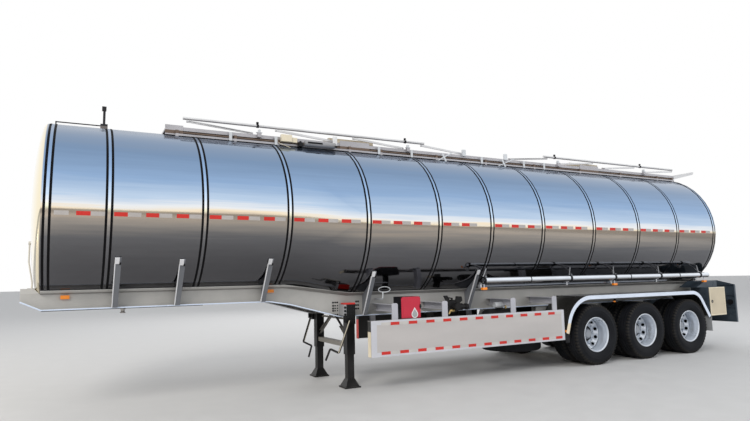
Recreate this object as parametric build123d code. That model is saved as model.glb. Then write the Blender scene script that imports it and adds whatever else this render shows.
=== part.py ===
from build123d import *
import math
import os

# All sizes are in millimetres. X points to the front, Y to the left, Z up, and the ground is at Z 0.
# Places along the trailer are distances back from the nose of the chassis.
overall_width = 2500
seat_gap = 0.3
pin_gap = 0.05
open_pin_gap = 2

# Tank: an oval section of four arcs, shallower over the coupling and deeper behind the step
tank_half_width = 1245
tank_top = 3697
front_half_height = 1163
rear_half_height = 1235
tank_front = 205
tank_rear = 12520
step_start = 3230
step_end = 4240
front_head_depth = 160
rear_head_depth = 200
head_steps = (0.3, 0.55, 0.78, 0.93)
band_width = 100
band_thickness = 4
band_places = (260, 896, 1996, 3118, 4309, 5547, 6561, 7672, 8905, 10108, 11275, 12463)

# Chassis rails and what joins them
rail_y = 560
web_thickness = 10
flange_width = 120
flange_thickness = 12
front_rail_bottom = 1300
rear_rail_bottom = 1040
nose_top = 1565
nose_bottom = 1405
nose_chamfer = 220
drop_start = 3010
drop_middle = 3320
drop_middle_height = 1247
drop_end = 4090
tail_overhang = 500
rail_end = tank_rear + tail_overhang
pad_inner = 480
pad_outer = 640
pad_gap = 4.6
pad_thickness = 8
cradle_places = (700, 1500, 2700, 4450, 5900, 7300, 8162, 9472, 10782, 12092)
cradle_thickness = 10
saddle_places = (1010, 1750, 2900, 4510, 6450)
saddle_foot = 640
front_saddle_tip = 1095
rear_saddle_tip = 1000
doubler_inner = 655
doubler_thickness = 12.9
nose_plate_back = 100
nose_plate_thickness = 12
coupling_height = 1455
coupling_places = ((-150, 24, 40), (0, 38, 35), (150, 24, 40))
end_plate_back = rail_end - 200
end_plate_thickness = 10
end_plate_top = 1330

# Coupling
coupler_front = 225
coupler_rear = 2100
coupler_thickness = 10
kingpin_back = 1160
kingpin_neck = 25.4
kingpin_shoulder = 36.5
kingpin_foot = 35.7

# Landing legs
leg_back = 4260
leg_y = 600
leg_outer = 130
leg_inner = 105
leg_sleeve_end = 480
foot_width = 250
foot_plate = 20
foot_height = 130
leg_brace_height = 640
brace_low = 700
brace_depth = 60
brace_half_width = 20
brace_wall = 6
bracket_front = 4115
bracket_rear = 4308
bracket_top = 1225
bracket_bottom = 955
gearbox_front = 4160
gearbox_bottom = 930
gearbox_top = 1050
web_doubler_front = 4040
web_doubler_bottom = 1078
web_doubler_top = 1240
crank_radius = 11
crank_bend = 18

# Cranks as they hang, left and right: back, distance from the middle, height
crank_routes = (
    ((4188, 715, 991), (4188, 790, 991), (4004, 790, 536), (3923, 660, 586), (3851, 660, 424)),
    ((4190, 715, 987), (4190, 790, 987), (4047, 790, 556), (4148, 660, 495), (4093, 660, 311)),
)

# Axles, wheels and tyres
axle_places = (8817, 10127, 11437)
tyre_radius = 527
tyre_width = 285
dual_spacing = 335
bead_radius = 286
rim_half_width = 117
rim_flange_radius = 300
axle_radius = 65
spindle_radius = 40
hub_inner_reach = 300
hub_outer_reach = 70
hub_shoulder = 60
hub_cap = 35
drum_radius = 205
hand_hole_count = 10
hand_hole_radius = 28
hand_hole_pitch = 228

# Springs
spring_y = 530
spring_width = 90
hanger_places = (8162, 9472, 10782, 12092)
hanger_height = 720
hanger_roof = 12
hanger_gap = 3
hanger_cheek = 8
spring_seat = 770
axle_seat = 655
torque_rod_y = 445
torque_rod_radius = 20
torque_eye_radius = 26
torque_pin_radius = 12
torque_front_height = 750
torque_rear_height = 640

# Fenders
fender_inner = 628
fender_front = 8060
fender_rear = 12112
fender_top = 1215
fender_low = 600
fender_radius = 380
fender_sheet = 5
fender_lip = 42
fender_arm_places = (8580, 9472, 10782, 11500)

# Side guards
left_guard_front = 4260
right_guard_front = 5270
guard_rear = 8020
guard_bottom = 490
guard_top = 1000
guard_sheet = 5
guard_return = 55
guard_lip = 40
left_post_places = (4720, 5600, 6950, 7860)
right_post_places = (5600, 6950, 7860)
guard_post_width = 100
guard_post_top = 1234
guard_post_bevel = 18
guard_post_depth = 19
guard_spacer_depth = 36
guard_beam_bottom = 1110
guard_beam_top = 1215
guard_beam_width = 80
guard_beam_wall = 8

# Tubes along the tank
tube_y = 1150
tube_height = 1530
tube_radius = 50
tube_front = 6390
tube_rear = 12260
strut_places = (6410, 8320, 9450, 10740, 11980)
collar_thickness = 8
conduit_y = 1045
conduit_height = 1440
conduit_radius = 22
conduit_front_gap = 90
conduit_rear_gap = 1200
side_lamp_places = (strut_places[0], strut_places[2], 12131)
side_lamp_drop = 130
side_lamp_half_length = 45
side_lamp_half_width = 25

# Walkway: a plate with curbs on feet, a tube and a strip along its sides, and panels beside the manholes
# Panels: front, rear, drop under the plate, rise over it
walk_front = 1600
walk_rear = 12470
walk_half_width = 420
walk_gap = 6
walk_thickness = 30
walk_curb = 22
walk_curb_width = 12
walk_foot_places = (1750, 2560, 3200, 4390, 4960, 6050, 7120, 8290, 9510, 10690, 11870, 12380)
walk_foot_width = 40
walk_foot_inner = 360
walk_foot_outer = 460
walk_tube_front = 1740
walk_tube_rear = 12440
walk_tube_y = 400
walk_tube_drop = 23
walk_tube_radius = 19
walk_strip_drop = 81
walk_strip_height = 28
walk_strip_width = 8
walk_panels = ((1595, 1835, 68, 41), (4230, 4754, 63, 57), (9540, 10063, 63, 57))
walk_panel_thickness = 8
rest_places = (2914, 5480, 8931, 11458)
rest_half_length = 30
rest_rise = 45
walk_bottom = tank_top + walk_gap
walk_top = walk_bottom + walk_thickness

# Manholes
manhole_places = (4490, 9790)
manhole_length = 800
manhole_half_width = 300
manhole_height = 117
manhole_wall = 5
manhole_collar_height = 62
lid_radius = 250
lid_hinge_offset = 290

# Folding handrails
handrail_spans = ((1840, 5860), (8640, 12550))
handrail_folds = (1, -1)
handrail_rise = 172
handrail_height = walk_top + handrail_rise
handrail_y = 350
handrail_radius = 21
post_y = 375
post_length = 920
post_count = 4
post_height = 32
post_thickness = 18
base_pivot_rise = 47
base_pivot_height = walk_top + base_pivot_rise
lug_drop = 45

# Extinguisher box
box_front = 4830
box_rear = 5160
box_inner = 970
box_outer = 1196
box_low = 1008
box_high = 1320
box_wall = 5
box_door_gap = 0.5
box_door_outer = 1208

# Rear cabinets with a sloping cover over them
cabinet_front = 12122
cabinet_rear = 12640
cabinet_inner = 850
cabinet_bottom = 700
cabinet_top = 1270
cabinet_wall = 5
cabinet_arm_inset = 100
cabinet_arm_half = 25
cabinet_arm_bottom = 1080
cabinet_arm_top = 1140
cover_front = 11950
cover_slope_end = 12240
cover_top = 1400
cover_inner = 700
cover_outer = 1095
door_thickness = 14
lock_offset = 73
lock_height = 984
lock_radius = 30
lock_depth = 6
lock_button_radius = 13
flap_offset = 28
flap_thickness = 8
flap_bottom = 390

# Tail plate, lamps and ladder
tail_bottom = 525
tail_edge_top = 1310
tail_top = 1400
tail_slope_y = 870
tail_sheet = 8
tail_return = 40
tail_rib_inner = 700
tail_rib_heights = (827, 1079)
tail_lamp_places = (850, 990, 1130)
tail_lamp_height = 940
tail_lamp_radius = 62
tail_lamp_depth = 35
lamp_housing_radius = 55
lamp_housing_depth = 38
guard_channel_depth = 52
guard_channel_wall = 6
guard_channel_bottom = 560
guard_channel_top = 680
guard_channel_half = 1200
ladder_offset = 153
ladder_y = -290
ladder_half_width = 210
ladder_radius = 19
ladder_bottom = 560
ladder_top = 3870
ladder_bracket_heights = (850, 1150)
rung_radius = 13
rung_spacing = 280
rung_count = 11
first_rung = 60
end_step_depth = 60
end_step_wall = 12
end_step_treads = 5
ladder_stay_rung = 7
ladder_stay_radius = 16
ladder_back = rail_end + tail_sheet + ladder_offset
overall_length = ladder_back + ladder_radius

# Spare wheel, reservoirs, discharge pipe
spare_back = 7560
spare_y = 380
spare_bottom = 290
spare_disc_height = 440
carrier_radius = 24
carrier_top = 1052
reservoir_radius = 130
reservoir_length = 640
reservoir_back = 6950
reservoir_y = 850
reservoir_height = 920
pipe_back = 6010
pipe_radius = 57.15
riser_radius = 50
pipe_height = 1130
valve_inner = 745
valve_flange = 20
valve_outer = 885
valve_radius = 78
valve_flange_radius = 100
outlet_end = 990
lever_height = 1250
lever_reach = 130

# Marker lamps on the rails: back, half length
marker_places = ((470, 49), (3010, 80))
marker_bottom = 1430
marker_top = 1475
marker_depth = 30

# Vent on top of the tank, its line, and the pipe in front of the front head
vent_back = 850
vent_radius = 16
vent_base_half = 45
vent_base_top = 3790
vent_head_bottom = 3985
vent_top = 4044
vent_line_end = 270
vent_line_height = 3770
vent_line_radius = 8
head_pipe_radius = 10
head_pipe_bend = 30
head_pipe_route = ((43, 2120), (43, 1901), (89.7, 1640), (89.7, 1430))
head_pipe_y = 80
head_fitting_height = 2139
head_fitting_radius = 22

os.makedirs("parts", exist_ok=True)


def place(back):
    return overall_length / 2 - back


def save(node, *pieces):
    solids = [solid for piece in pieces for solid in piece.solids()]
    export_step(Compound(solids), f"parts/{node}.step")


def block(back_0, back_1, y_0, y_1, z_0, z_1):
    middle = (place((back_0 + back_1) / 2), (y_0 + y_1) / 2, (z_0 + z_1) / 2)
    return Pos(*middle) * Box(abs(back_1 - back_0), abs(y_1 - y_0), abs(z_1 - z_0))


def side_prism(points, y_0, y_1):
    face = make_face(Polyline([(place(back), z) for back, z in points], close=True))
    plane = Plane(origin=(0, max(y_0, y_1), 0), x_dir=(1, 0, 0), z_dir=(0, -1, 0))
    return extrude(plane * face, amount=abs(y_1 - y_0))


def section_plane(back, height=0):
    return Plane(origin=(place(back), 0, height), x_dir=(0, 1, 0), z_dir=(1, 0, 0))


def section_prism(points, back_0, back_1):
    face = make_face(Polyline(list(points), close=True))
    return extrude(section_plane(max(back_0, back_1)) * face, amount=abs(back_1 - back_0))


def rod(start, end, radius):
    run = Vector(*end) - Vector(*start)
    return Solid.make_cylinder(radius, run.length, Plane(origin=start, z_dir=run))


def cross_rod(back, z, y_0, y_1, radius):
    return rod((place(back), y_0, z), (place(back), y_1, z), radius)


def both_sides(shape):
    return [shape, mirror(shape, about=Plane.XZ)]


def bent_rod(points, radius, bend):
    path = FilletPolyline(*[(place(back), y, z) for back, y, z in points], radius=bend)
    return sweep(Plane(origin=path @ 0, z_dir=path % 0) * Circle(radius), path=path)


def spin(points, back, z):
    plane = Plane(origin=(place(back), 0, z), x_dir=(0, 0, -1), z_dir=(1, 0, 0))
    face = plane * make_face(Polyline(list(points), close=True))
    return revolve(face, Axis((place(back), 0, z), (0, 1, 0)), 360)


# Oval section of the tank: crown and side arcs that meet on a common tangent
def arc_radii(half_width, half_height):
    side = 0.9 * half_height
    crown = (half_width**2 - 2 * half_width * side + half_height**2) / (2 * (half_height - side))
    return side, crown


def oval(half_width, half_height, grow=0.0):
    side, crown = arc_radii(half_width, half_height)
    y = (crown + grow) * (half_width - side) / (crown - side)
    z = (crown + grow) * (crown - half_height) / (crown - side) - (crown - half_height)
    top = half_height + grow
    right = half_width + grow
    arcs = [
        ThreePointArc((-y, z), (0, top), (y, z)),
        ThreePointArc((y, z), (right, 0), (y, -z)),
        ThreePointArc((y, -z), (0, -top), (-y, -z)),
        ThreePointArc((-y, -z), (-right, 0), (-y, z)),
    ]
    return make_face(arcs)


def half_height_at(back):
    return front_half_height if back <= step_start else rear_half_height


def underside(y, half_height, grow=0.0):
    crown = arc_radii(tank_half_width, half_height)[1]
    return tank_top + crown - 2 * half_height - math.sqrt((crown + grow) ** 2 - y**2)


def tank_prism(back_0, back_1, grow):
    half_height = half_height_at(back_0)
    face = section_plane(back_1, tank_top - half_height) * oval(tank_half_width, half_height, grow)
    return extrude(face, amount=back_1 - back_0)


def under_strip(half_height, y_0, y_1, grow_0, grow_1):
    middle = (y_0 + y_1) / 2
    low = [(y, underside(y, half_height, grow_1)) for y in (y_0, middle, y_1)]
    high = [(y, underside(y, half_height, grow_0)) for y in (y_1, middle, y_0)]
    return make_face([
        ThreePointArc(*low),
        Line(low[2], high[0]),
        ThreePointArc(*high),
        Line(high[2], low[0]),
    ])


# Tank shell with its domed heads
def head_section(step, depth, end, half_height, direction):
    scale = math.sqrt(1 - step**2)
    plane = section_plane(end + direction * step * depth, tank_top - half_height)
    return plane * oval(scale * tank_half_width, scale * half_height)


def make_tank():
    front = [head_section(s, front_head_depth, tank_front, front_half_height, -1) for s in reversed(head_steps)]
    rear = [head_section(s, rear_head_depth, tank_rear, rear_half_height, 1) for s in head_steps]
    middle = [
        section_plane(back, tank_top - half_height) * oval(tank_half_width, half_height)
        for back, half_height in (
            (tank_front, front_half_height),
            (step_start, front_half_height),
            (step_end, rear_half_height),
            (tank_rear, rear_half_height),
        )
    ]
    return loft(front + middle + rear, ruled=True)


save("tank_shell", make_tank())

bands = []
for band_place in band_places:
    front_edge = band_place - band_width / 2
    rear_edge = band_place + band_width / 2
    strap = tank_prism(front_edge, rear_edge, seat_gap + band_thickness)
    bands.append(strap - tank_prism(front_edge, rear_edge, seat_gap))
save("tank_bands", *bands)


# Chassis: two rails that step down behind the coupling, with pads under the tank
def rail_bottom(back):
    return front_rail_bottom if back <= drop_start else rear_rail_bottom


def make_rail():
    bottom = [
        (0, nose_bottom),
        (nose_chamfer, front_rail_bottom),
        (drop_start, front_rail_bottom),
        (drop_middle, drop_middle_height),
        (drop_end, rear_rail_bottom),
        (rail_end, rear_rail_bottom),
    ]
    pad_middle = pad_gap + pad_thickness / 2
    front_top = underside(rail_y, front_half_height, pad_middle)
    rear_top = underside(rail_y, rear_half_height, pad_middle)
    top = [
        (rail_end, rear_top),
        (step_end, rear_top),
        (step_start, front_top),
        (tank_front, front_top),
        (tank_front - 65, nose_top),
        (0, nose_top),
    ]
    half_web = web_thickness / 2
    half_flange = flange_width / 2
    web = side_prism(bottom + top, rail_y - half_web, rail_y + half_web)
    lifted = [(back, z + flange_thickness) for back, z in reversed(bottom)]
    flange = side_prism(bottom + lifted, rail_y - half_flange, rail_y + half_flange)
    stations = (
        (tank_front, front_half_height),
        (step_start, front_half_height),
        (step_end, rear_half_height),
        (tank_rear, rear_half_height),
    )
    pad = loft([
        section_plane(back) * under_strip(height, pad_inner, pad_outer, pad_gap, pad_gap + pad_thickness)
        for back, height in stations
    ], ruled=True)
    return web + flange + pad


web_face = rail_y - web_thickness / 2
outer_face = rail_y + web_thickness / 2
web_doubler = block(
    web_doubler_front,
    bracket_front - 1,
    outer_face,
    outer_face + pad_thickness,
    web_doubler_bottom,
    web_doubler_top,
)
left_rail, right_rail = both_sides(make_rail() + web_doubler)
pipe_hole = cross_rod(pipe_back, pipe_height, rail_y - 20, rail_y + 20, pipe_radius + 8)
save("chassis_rails", left_rail - pipe_hole, right_rail)

cradles = []
for cradle_place in cradle_places:
    foot = rail_bottom(cradle_place) + flange_thickness
    front_edge = cradle_place - cradle_thickness / 2
    rear_edge = cradle_place + cradle_thickness / 2
    plate = block(front_edge, rear_edge, -web_face, web_face, foot, nose_top)
    plate = plate - tank_prism(front_edge - 5, rear_edge + 5, pad_gap + pad_thickness + seat_gap)
    toe = block(cradle_place - 40, cradle_place + 40, -web_face, web_face, foot, foot + cradle_thickness)
    crown = tank_prism(front_edge, rear_edge, pad_gap + pad_thickness + seat_gap + 1)
    crown = crown - tank_prism(front_edge, rear_edge, seat_gap)
    crown = crown & block(front_edge, rear_edge, -pad_inner + 10, pad_inner - 10, foot, tank_top - front_half_height)
    cradles.append(plate + toe + crown)
nose_plate = block(
    nose_plate_back,
    nose_plate_back + nose_plate_thickness,
    -web_face,
    web_face,
    nose_bottom,
    nose_top - 10,
)
for y, radius, length in coupling_places:
    face = (place(nose_plate_back), y, coupling_height)
    nose_plate = nose_plate + rod(face, (place(nose_plate_back - length), y, coupling_height), radius)
end_plate = block(
    end_plate_back,
    end_plate_back + end_plate_thickness,
    -web_face,
    web_face,
    rear_rail_bottom + flange_thickness,
    end_plate_top,
)
save("cross_members", *cradles, nose_plate, end_plate)


# Gussets outside the rails that carry the tank's flanks
def make_saddle(saddle_place):
    half_height = half_height_at(saddle_place)
    foot = rail_bottom(saddle_place) + flange_thickness
    tip_y = front_saddle_tip if saddle_place < step_start else rear_saddle_tip
    tip_z = underside(tip_y, half_height)
    edge_top = tip_z - doubler_thickness
    outline = [(outer_face, foot), (saddle_foot, foot), (tip_y, edge_top), (tip_y, tip_z + 50), (outer_face, tip_z + 50)]
    front_edge = saddle_place - 50
    rear_edge = saddle_place + 50
    clear = tank_prism(front_edge - 20, rear_edge + 20, doubler_thickness)
    plate = section_prism(outline, saddle_place - 4, saddle_place + 4) - clear
    cap_line = [(saddle_foot, foot), (saddle_foot + 9, foot), (tip_y + 9, edge_top), (tip_y, edge_top)]
    cap = section_prism(cap_line, front_edge, rear_edge)
    strip = under_strip(half_height, doubler_inner, tip_y + 9, seat_gap, doubler_thickness + seat_gap)
    doubler = extrude(section_plane(rear_edge) * strip, amount=rear_edge - front_edge)
    return plate + cap + doubler


saddles = []
for saddle_place in saddle_places:
    saddles += both_sides(make_saddle(saddle_place))
save("tank_saddles", *saddles)

# Rubbing plate and kingpin
coupler_top = front_rail_bottom
coupler_bottom = coupler_top - coupler_thickness
coupler = block(coupler_front, coupler_rear, -rail_y - 60, rail_y + 60, coupler_bottom, coupler_top)
save("coupler_plate", coupler)
pin_profile = [
    (0, 0),
    (kingpin_shoulder, 0),
    (kingpin_shoulder, -35),
    (kingpin_neck, -35),
    (kingpin_neck, -70),
    (kingpin_foot, -70),
    (kingpin_foot, -84),
    (0, -84),
]
pin_plane = Plane(origin=(place(kingpin_back), 0, coupler_bottom), x_dir=(1, 0, 0), z_dir=(0, -1, 0))
kingpin = revolve(pin_plane * make_face(Polyline(pin_profile, close=True)), Axis((place(kingpin_back), 0, 0), (0, 0, 1)))
save("kingpin", kingpin)


# Landing legs with feet, gearboxes, brackets and cranks
def make_leg():
    half = leg_outer / 2
    sleeve = block(leg_back - half, leg_back + half, leg_y - half, leg_y + half, leg_sleeve_end, rear_rail_bottom)
    half = leg_inner / 2
    ram = block(leg_back - half, leg_back + half, leg_y - half, leg_y + half, foot_plate, leg_sleeve_end)
    sole = block(
        leg_back - foot_width / 2,
        leg_back + foot_width / 2,
        leg_y - foot_width / 2,
        leg_y + foot_width / 2,
        0,
        foot_plate,
    )
    base = Pos(place(leg_back), leg_y, foot_plate) * Rectangle(foot_width - 30, foot_width - 30)
    cap = Pos(place(leg_back), leg_y, foot_height) * Rectangle(leg_inner + 6, leg_inner + 6)
    pyramid = loft([base, cap])
    bracket_y = leg_y + 130
    plate = 8
    above_flange = rear_rail_bottom + flange_thickness + 2
    gearbox = block(gearbox_front, bracket_rear, leg_y + 60, bracket_y, gearbox_bottom, gearbox_top)
    side_plate = block(bracket_front, bracket_rear, bracket_y - plate, bracket_y, bracket_bottom, bracket_top)
    front_plate = block(bracket_front, bracket_front + plate, outer_face, bracket_y, above_flange, bracket_top)
    rear_plate = block(bracket_rear - plate, bracket_rear, outer_face, bracket_y, above_flange, bracket_top)
    return sleeve + ram + sole + pyramid + gearbox + side_plate + front_plate + rear_plate


left_leg, right_leg = both_sides(make_leg())
left_crank = bent_rod(crank_routes[0], crank_radius, crank_bend)
right_crank = mirror(bent_rod(crank_routes[1], crank_radius, crank_bend), about=Plane.XZ)
save("landing_legs", left_leg + left_crank, right_leg + right_crank)


# Brace between the legs: a tray, two sloping channels and the shaft that drives the right leg
def brace_outline(inset):
    high = rear_rail_bottom + flange_thickness
    return [
        (leg_face, brace_low + inset),
        (leg_face, brace_low + brace_depth - inset),
        (brace_depth, high - inset),
        (0, high - inset),
    ]


leg_face = leg_y - leg_outer / 2
tray_half = 40
tray_wall = 8
tray_front = leg_back - tray_half
tray_rear = leg_back + tray_half
tray = block(tray_front, tray_rear, -leg_face, leg_face, leg_brace_height, leg_brace_height + tray_wall)
for lip_front in (tray_front, tray_rear - tray_wall):
    lip_low = leg_brace_height - brace_depth
    tray = tray + block(lip_front, lip_front + tray_wall, -leg_face, leg_face, lip_low, leg_brace_height)
brace = section_prism(brace_outline(0), leg_back - brace_half_width, leg_back + brace_half_width)
brace_front = leg_back - brace_half_width - 1
brace = brace - section_prism(brace_outline(brace_wall), brace_front, leg_back + brace_half_width - brace_wall)
mount_half = web_face - 60
mount_top = rear_rail_bottom + flange_thickness
brace_mount = block(tray_front, tray_rear, -mount_half, mount_half, rear_rail_bottom, mount_top)
shaft_height = (gearbox_bottom + gearbox_top) / 2
drive_shaft = cross_rod(leg_back + tray_half, shaft_height, -leg_face, leg_face, 16)
leg_brace = tray + brace_mount
for piece in both_sides(brace):
    leg_brace = leg_brace + piece
save("landing_brace", leg_brace, drive_shaft)

# Planes of the wheel ends: the middles of both tyres, the discs between them and the hub's ends
outer_centre = overall_width / 2 - tyre_width / 2
inner_centre = outer_centre - dual_spacing
disc_plane = (outer_centre + inner_centre) / 2
hub_start = disc_plane - hub_inner_reach
hub_end = disc_plane + hub_outer_reach
shoulder = disc_plane - hub_shoulder

# Axle beams with spring seats and brake chambers
axles = []
for axle_place in axle_places:
    beam = cross_rod(axle_place, tyre_radius, -590, 590, axle_radius)
    spindle = cross_rod(axle_place, tyre_radius, 15 - hub_end, hub_end - 15, spindle_radius)
    beam = beam + spindle
    seat = block(axle_place - 60, axle_place + 60, spring_y - 48, spring_y + 48, tyre_radius, axle_seat)
    chamber_arm = block(axle_place + 20, axle_place + 190, 300, 312, tyre_radius - 30, tyre_radius + 60)
    chamber = rod((place(axle_place + 150), 312, tyre_radius + 20), (place(axle_place + 150), 440, tyre_radius + 20), 80)
    for side_piece in (seat, chamber_arm, chamber):
        for piece in both_sides(side_piece):
            beam = beam + piece
    axles.append(beam)
save("axles", *axles)


# Leaf springs between their hangers
def make_spring(axle_place):
    outline = [
        (-560, spring_seat - 18),
        (-560, spring_seat),
        (-430, spring_seat),
        (-150, spring_seat - 30),
        (150, spring_seat - 30),
        (430, spring_seat),
        (560, spring_seat),
        (560, spring_seat - 18),
        (430, spring_seat - 20),
        (300, spring_seat - 58),
        (110, axle_seat),
        (-110, axle_seat),
        (-300, spring_seat - 58),
        (-430, spring_seat - 20),
    ]
    points = [(axle_place + offset, z) for offset, z in outline]
    return side_prism(points, spring_y - spring_width / 2, spring_y + spring_width / 2)


springs = []
for axle_place in axle_places:
    springs += both_sides(make_spring(axle_place))
save("leaf_springs", *springs)


def make_hanger(hanger_place):
    cheek_line = [
        (hanger_place - 150, rear_rail_bottom),
        (hanger_place + 150, rear_rail_bottom),
        (hanger_place + 130, hanger_height),
        (hanger_place - 130, hanger_height),
    ]
    half = spring_width / 2 + hanger_gap
    inner = spring_y - half
    outer = spring_y + half
    hanger = side_prism(cheek_line, inner - hanger_cheek, inner)
    hanger = hanger + side_prism(cheek_line, outer, outer + hanger_cheek)
    slipper = block(hanger_place - 135, hanger_place + 135, inner, outer, spring_seat, spring_seat + 40)
    roof_bottom = rear_rail_bottom - hanger_roof
    roof = block(hanger_place - 150, hanger_place + 150, inner, outer, roof_bottom, rear_rail_bottom)
    post = block(hanger_place - 8, hanger_place + 8, inner, outer, spring_seat, rear_rail_bottom)
    return hanger + slipper + roof + post


hangers = []
for hanger_place in hanger_places:
    hangers += both_sides(make_hanger(hanger_place))
save("spring_hangers", *hangers)


# Torque rods from the hangers' inner cheeks back to the spring seats of the axles
def make_torque_rod(hanger_place, axle_place):
    front = hanger_place + 60
    rear = axle_place - 20
    eye_in = torque_rod_y - torque_rod_radius
    eye_out = torque_rod_y + torque_rod_radius
    cheek = spring_y - spring_width / 2 - hanger_gap - hanger_cheek
    seat = spring_y - 48
    torque_rod = rod(
        (place(front), torque_rod_y, torque_front_height),
        (place(rear), torque_rod_y, torque_rear_height),
        torque_rod_radius,
    )
    for back, z, face in ((front, torque_front_height, cheek), (rear, torque_rear_height, seat)):
        torque_rod = torque_rod + cross_rod(back, z, eye_in, eye_out, torque_eye_radius)
        torque_rod = torque_rod + cross_rod(back, z, eye_in, face - seat_gap, torque_pin_radius)
    return torque_rod


torque_rods = []
for hanger_place, axle_place in zip(hanger_places, axle_places):
    torque_rods += both_sides(make_torque_rod(hanger_place, axle_place))
save("torque_rods", *torque_rods)

# Wheel ends: one brake drum and hub with two rims, and two tyres, for each end of each axle


def tyre_profile(centre):
    half = tyre_width / 2
    bead = rim_half_width - 12 - seat_gap
    side = [
        (bead_radius + seat_gap, bead),
        (rim_flange_radius + 5, bead),
        (rim_flange_radius + 110, half),
        (tyre_radius - 30, half - 8),
        (tyre_radius, half - 36),
    ]
    return [(r, centre + w) for r, w in side] + [(r, centre - w) for r, w in reversed(side)]


def rim_profile(centre):
    flange = rim_half_width
    bead = rim_half_width - 12
    side = [
        (rim_flange_radius, bead),
        (rim_flange_radius, flange),
        (bead_radius - 14, flange),
        (bead_radius - 26, 40),
    ]
    outer = [(bead_radius, -bead), (bead_radius, bead)]
    left = [(r, centre + w) for r, w in side]
    right = [(r, centre - w) for r, w in reversed(side)]
    return [(r, centre + w) for r, w in outer] + left + right


def disc_profile(direction):
    return [
        (76, disc_plane),
        (225, disc_plane),
        (275, disc_plane + direction * 75),
        (275, disc_plane + direction * 95),
        (215, disc_plane + direction * 12),
        (76, disc_plane + direction * 12),
    ]


def make_wheels(axle_place):
    bore = spindle_radius + pin_gap
    hub_profile = [
        (bore, hub_start),
        (80, hub_start),
        (80, shoulder),
        (190, shoulder + 20),
        (190, disc_plane - 12),
        (78, disc_plane - 12),
        (78, hub_end + hub_cap - 10),
        (0, hub_end + hub_cap),
        (0, hub_end),
        (bore, hub_end),
    ]
    drum = [
        (drum_radius - 18, hub_start + 20),
        (drum_radius, hub_start + 20),
        (drum_radius, shoulder + 18),
        (160, shoulder + 18),
        (160, shoulder + 2),
        (drum_radius - 18, shoulder + 2),
    ]
    wheels = spin(hub_profile, axle_place, tyre_radius) + spin(drum, axle_place, tyre_radius)
    for direction in (-1, 1):
        wheels = wheels + spin(disc_profile(direction), axle_place, tyre_radius)
    for centre in (inner_centre, outer_centre):
        wheels = wheels + spin(rim_profile(centre), axle_place, tyre_radius)
    for number in range(hand_hole_count):
        angle = 2 * math.pi * number / hand_hole_count
        back = axle_place + hand_hole_pitch * math.sin(angle)
        height = tyre_radius + hand_hole_pitch * math.cos(angle)
        wheels = wheels - cross_rod(back, height, disc_plane - 90, disc_plane + 90, hand_hole_radius)
    return wheels


def make_tyres(axle_place):
    tyres = [spin(tyre_profile(centre), axle_place, tyre_radius) for centre in (inner_centre, outer_centre)]
    return Compound(tyres)


for number, axle_place in enumerate(axle_places, 1):
    for side, wheels in zip(("left", "right"), both_sides(make_wheels(axle_place))):
        save(f"wheels_{side}_{number}", wheels)
    for side, tyres in zip(("left", "right"), both_sides(make_tyres(axle_place))):
        save(f"tyres_{side}_{number}", tyres)


# One long fender over the three wheels on each side
def make_fender():
    y = fender_inner
    points = [
        (place(fender_front), y, fender_low),
        (place(fender_front + 200), y, fender_top),
        (place(fender_rear - 330), y, fender_top),
        (place(fender_rear), y, fender_low + 100),
    ]
    path = FilletPolyline(*points, radius=fender_radius)
    width = overall_width / 2 - fender_inner
    section = make_face(Polyline([
        (0, 0),
        (width, 0),
        (width, fender_lip),
        (width - fender_sheet, fender_lip),
        (width - fender_sheet, fender_sheet),
        (fender_sheet, fender_sheet),
        (fender_sheet, fender_lip),
        (0, fender_lip),
    ], close=True))
    start = Plane(origin=path @ 0, x_dir=(0, 1, 0), z_dir=path % 0)
    fender = sweep(start * section, path=path)
    for arm_place in fender_arm_places:
        top = fender_top - fender_sheet
        arm = block(arm_place - 20, arm_place + 20, outer_face, overall_width / 2 - fender_sheet, top - 50, top)
        fender = fender + arm
    return fender


save("fenders", *both_sides(make_fender()))
flap_outer = overall_width / 2 - door_thickness - 6
flap_front = cabinet_front + flap_offset
flap = block(flap_front, flap_front + flap_thickness, fender_inner, flap_outer, flap_bottom, cabinet_bottom)
save("mud_flaps", *both_sides(flap))


# Side guards, longer on the left, with their posts and the open channels that carry them
def make_guard(front):
    outer = overall_width / 2
    panel = block(front, guard_rear, outer - guard_sheet, outer, guard_bottom, guard_top)
    nose = block(front, front + guard_sheet, outer - guard_return, outer, guard_bottom, guard_top)
    tail = block(guard_rear - guard_sheet, guard_rear, outer - guard_return, outer, guard_bottom, guard_top)
    low = block(front, guard_rear, outer - guard_lip, outer, guard_bottom, guard_bottom + guard_sheet)
    high = block(front, guard_rear, outer - guard_lip, outer, guard_top - guard_sheet, guard_top)
    guard = panel + nose + tail + low + high
    corner = guard.edges().filter_by(Axis.Z).sort_by(lambda edge: edge.center().X + edge.center().Y)[-1]
    return fillet(corner, guard_sheet - 1)


def make_guard_post(post_place):
    front = post_place - guard_post_width / 2
    rear = post_place + guard_post_width / 2
    back_face = overall_width / 2 - guard_sheet
    spacer_face = back_face - guard_spacer_depth
    post_face = spacer_face - guard_post_depth
    shoulder = guard_post_top - guard_post_bevel
    outline = [
        (front, guard_bottom + 20),
        (rear, guard_bottom + 20),
        (rear, shoulder),
        (rear - guard_post_bevel, guard_post_top),
        (front + guard_post_bevel, guard_post_top),
        (front, shoulder),
    ]
    post = side_prism(outline, post_face, spacer_face)
    spacer = block(front, rear, spacer_face, back_face, guard_bottom + 40, guard_top - 40)
    beam_front = post_place - guard_beam_width / 2
    beam_rear = post_place + guard_beam_width / 2
    beam = block(beam_front, beam_rear, outer_face, post_face, guard_beam_bottom, guard_beam_top)
    channel = block(
        beam_front - 1,
        beam_rear - guard_beam_wall,
        outer_face - 1,
        post_face,
        guard_beam_bottom + guard_beam_wall,
        guard_beam_top - guard_beam_wall,
    )
    return post + spacer + (beam - channel)


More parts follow.
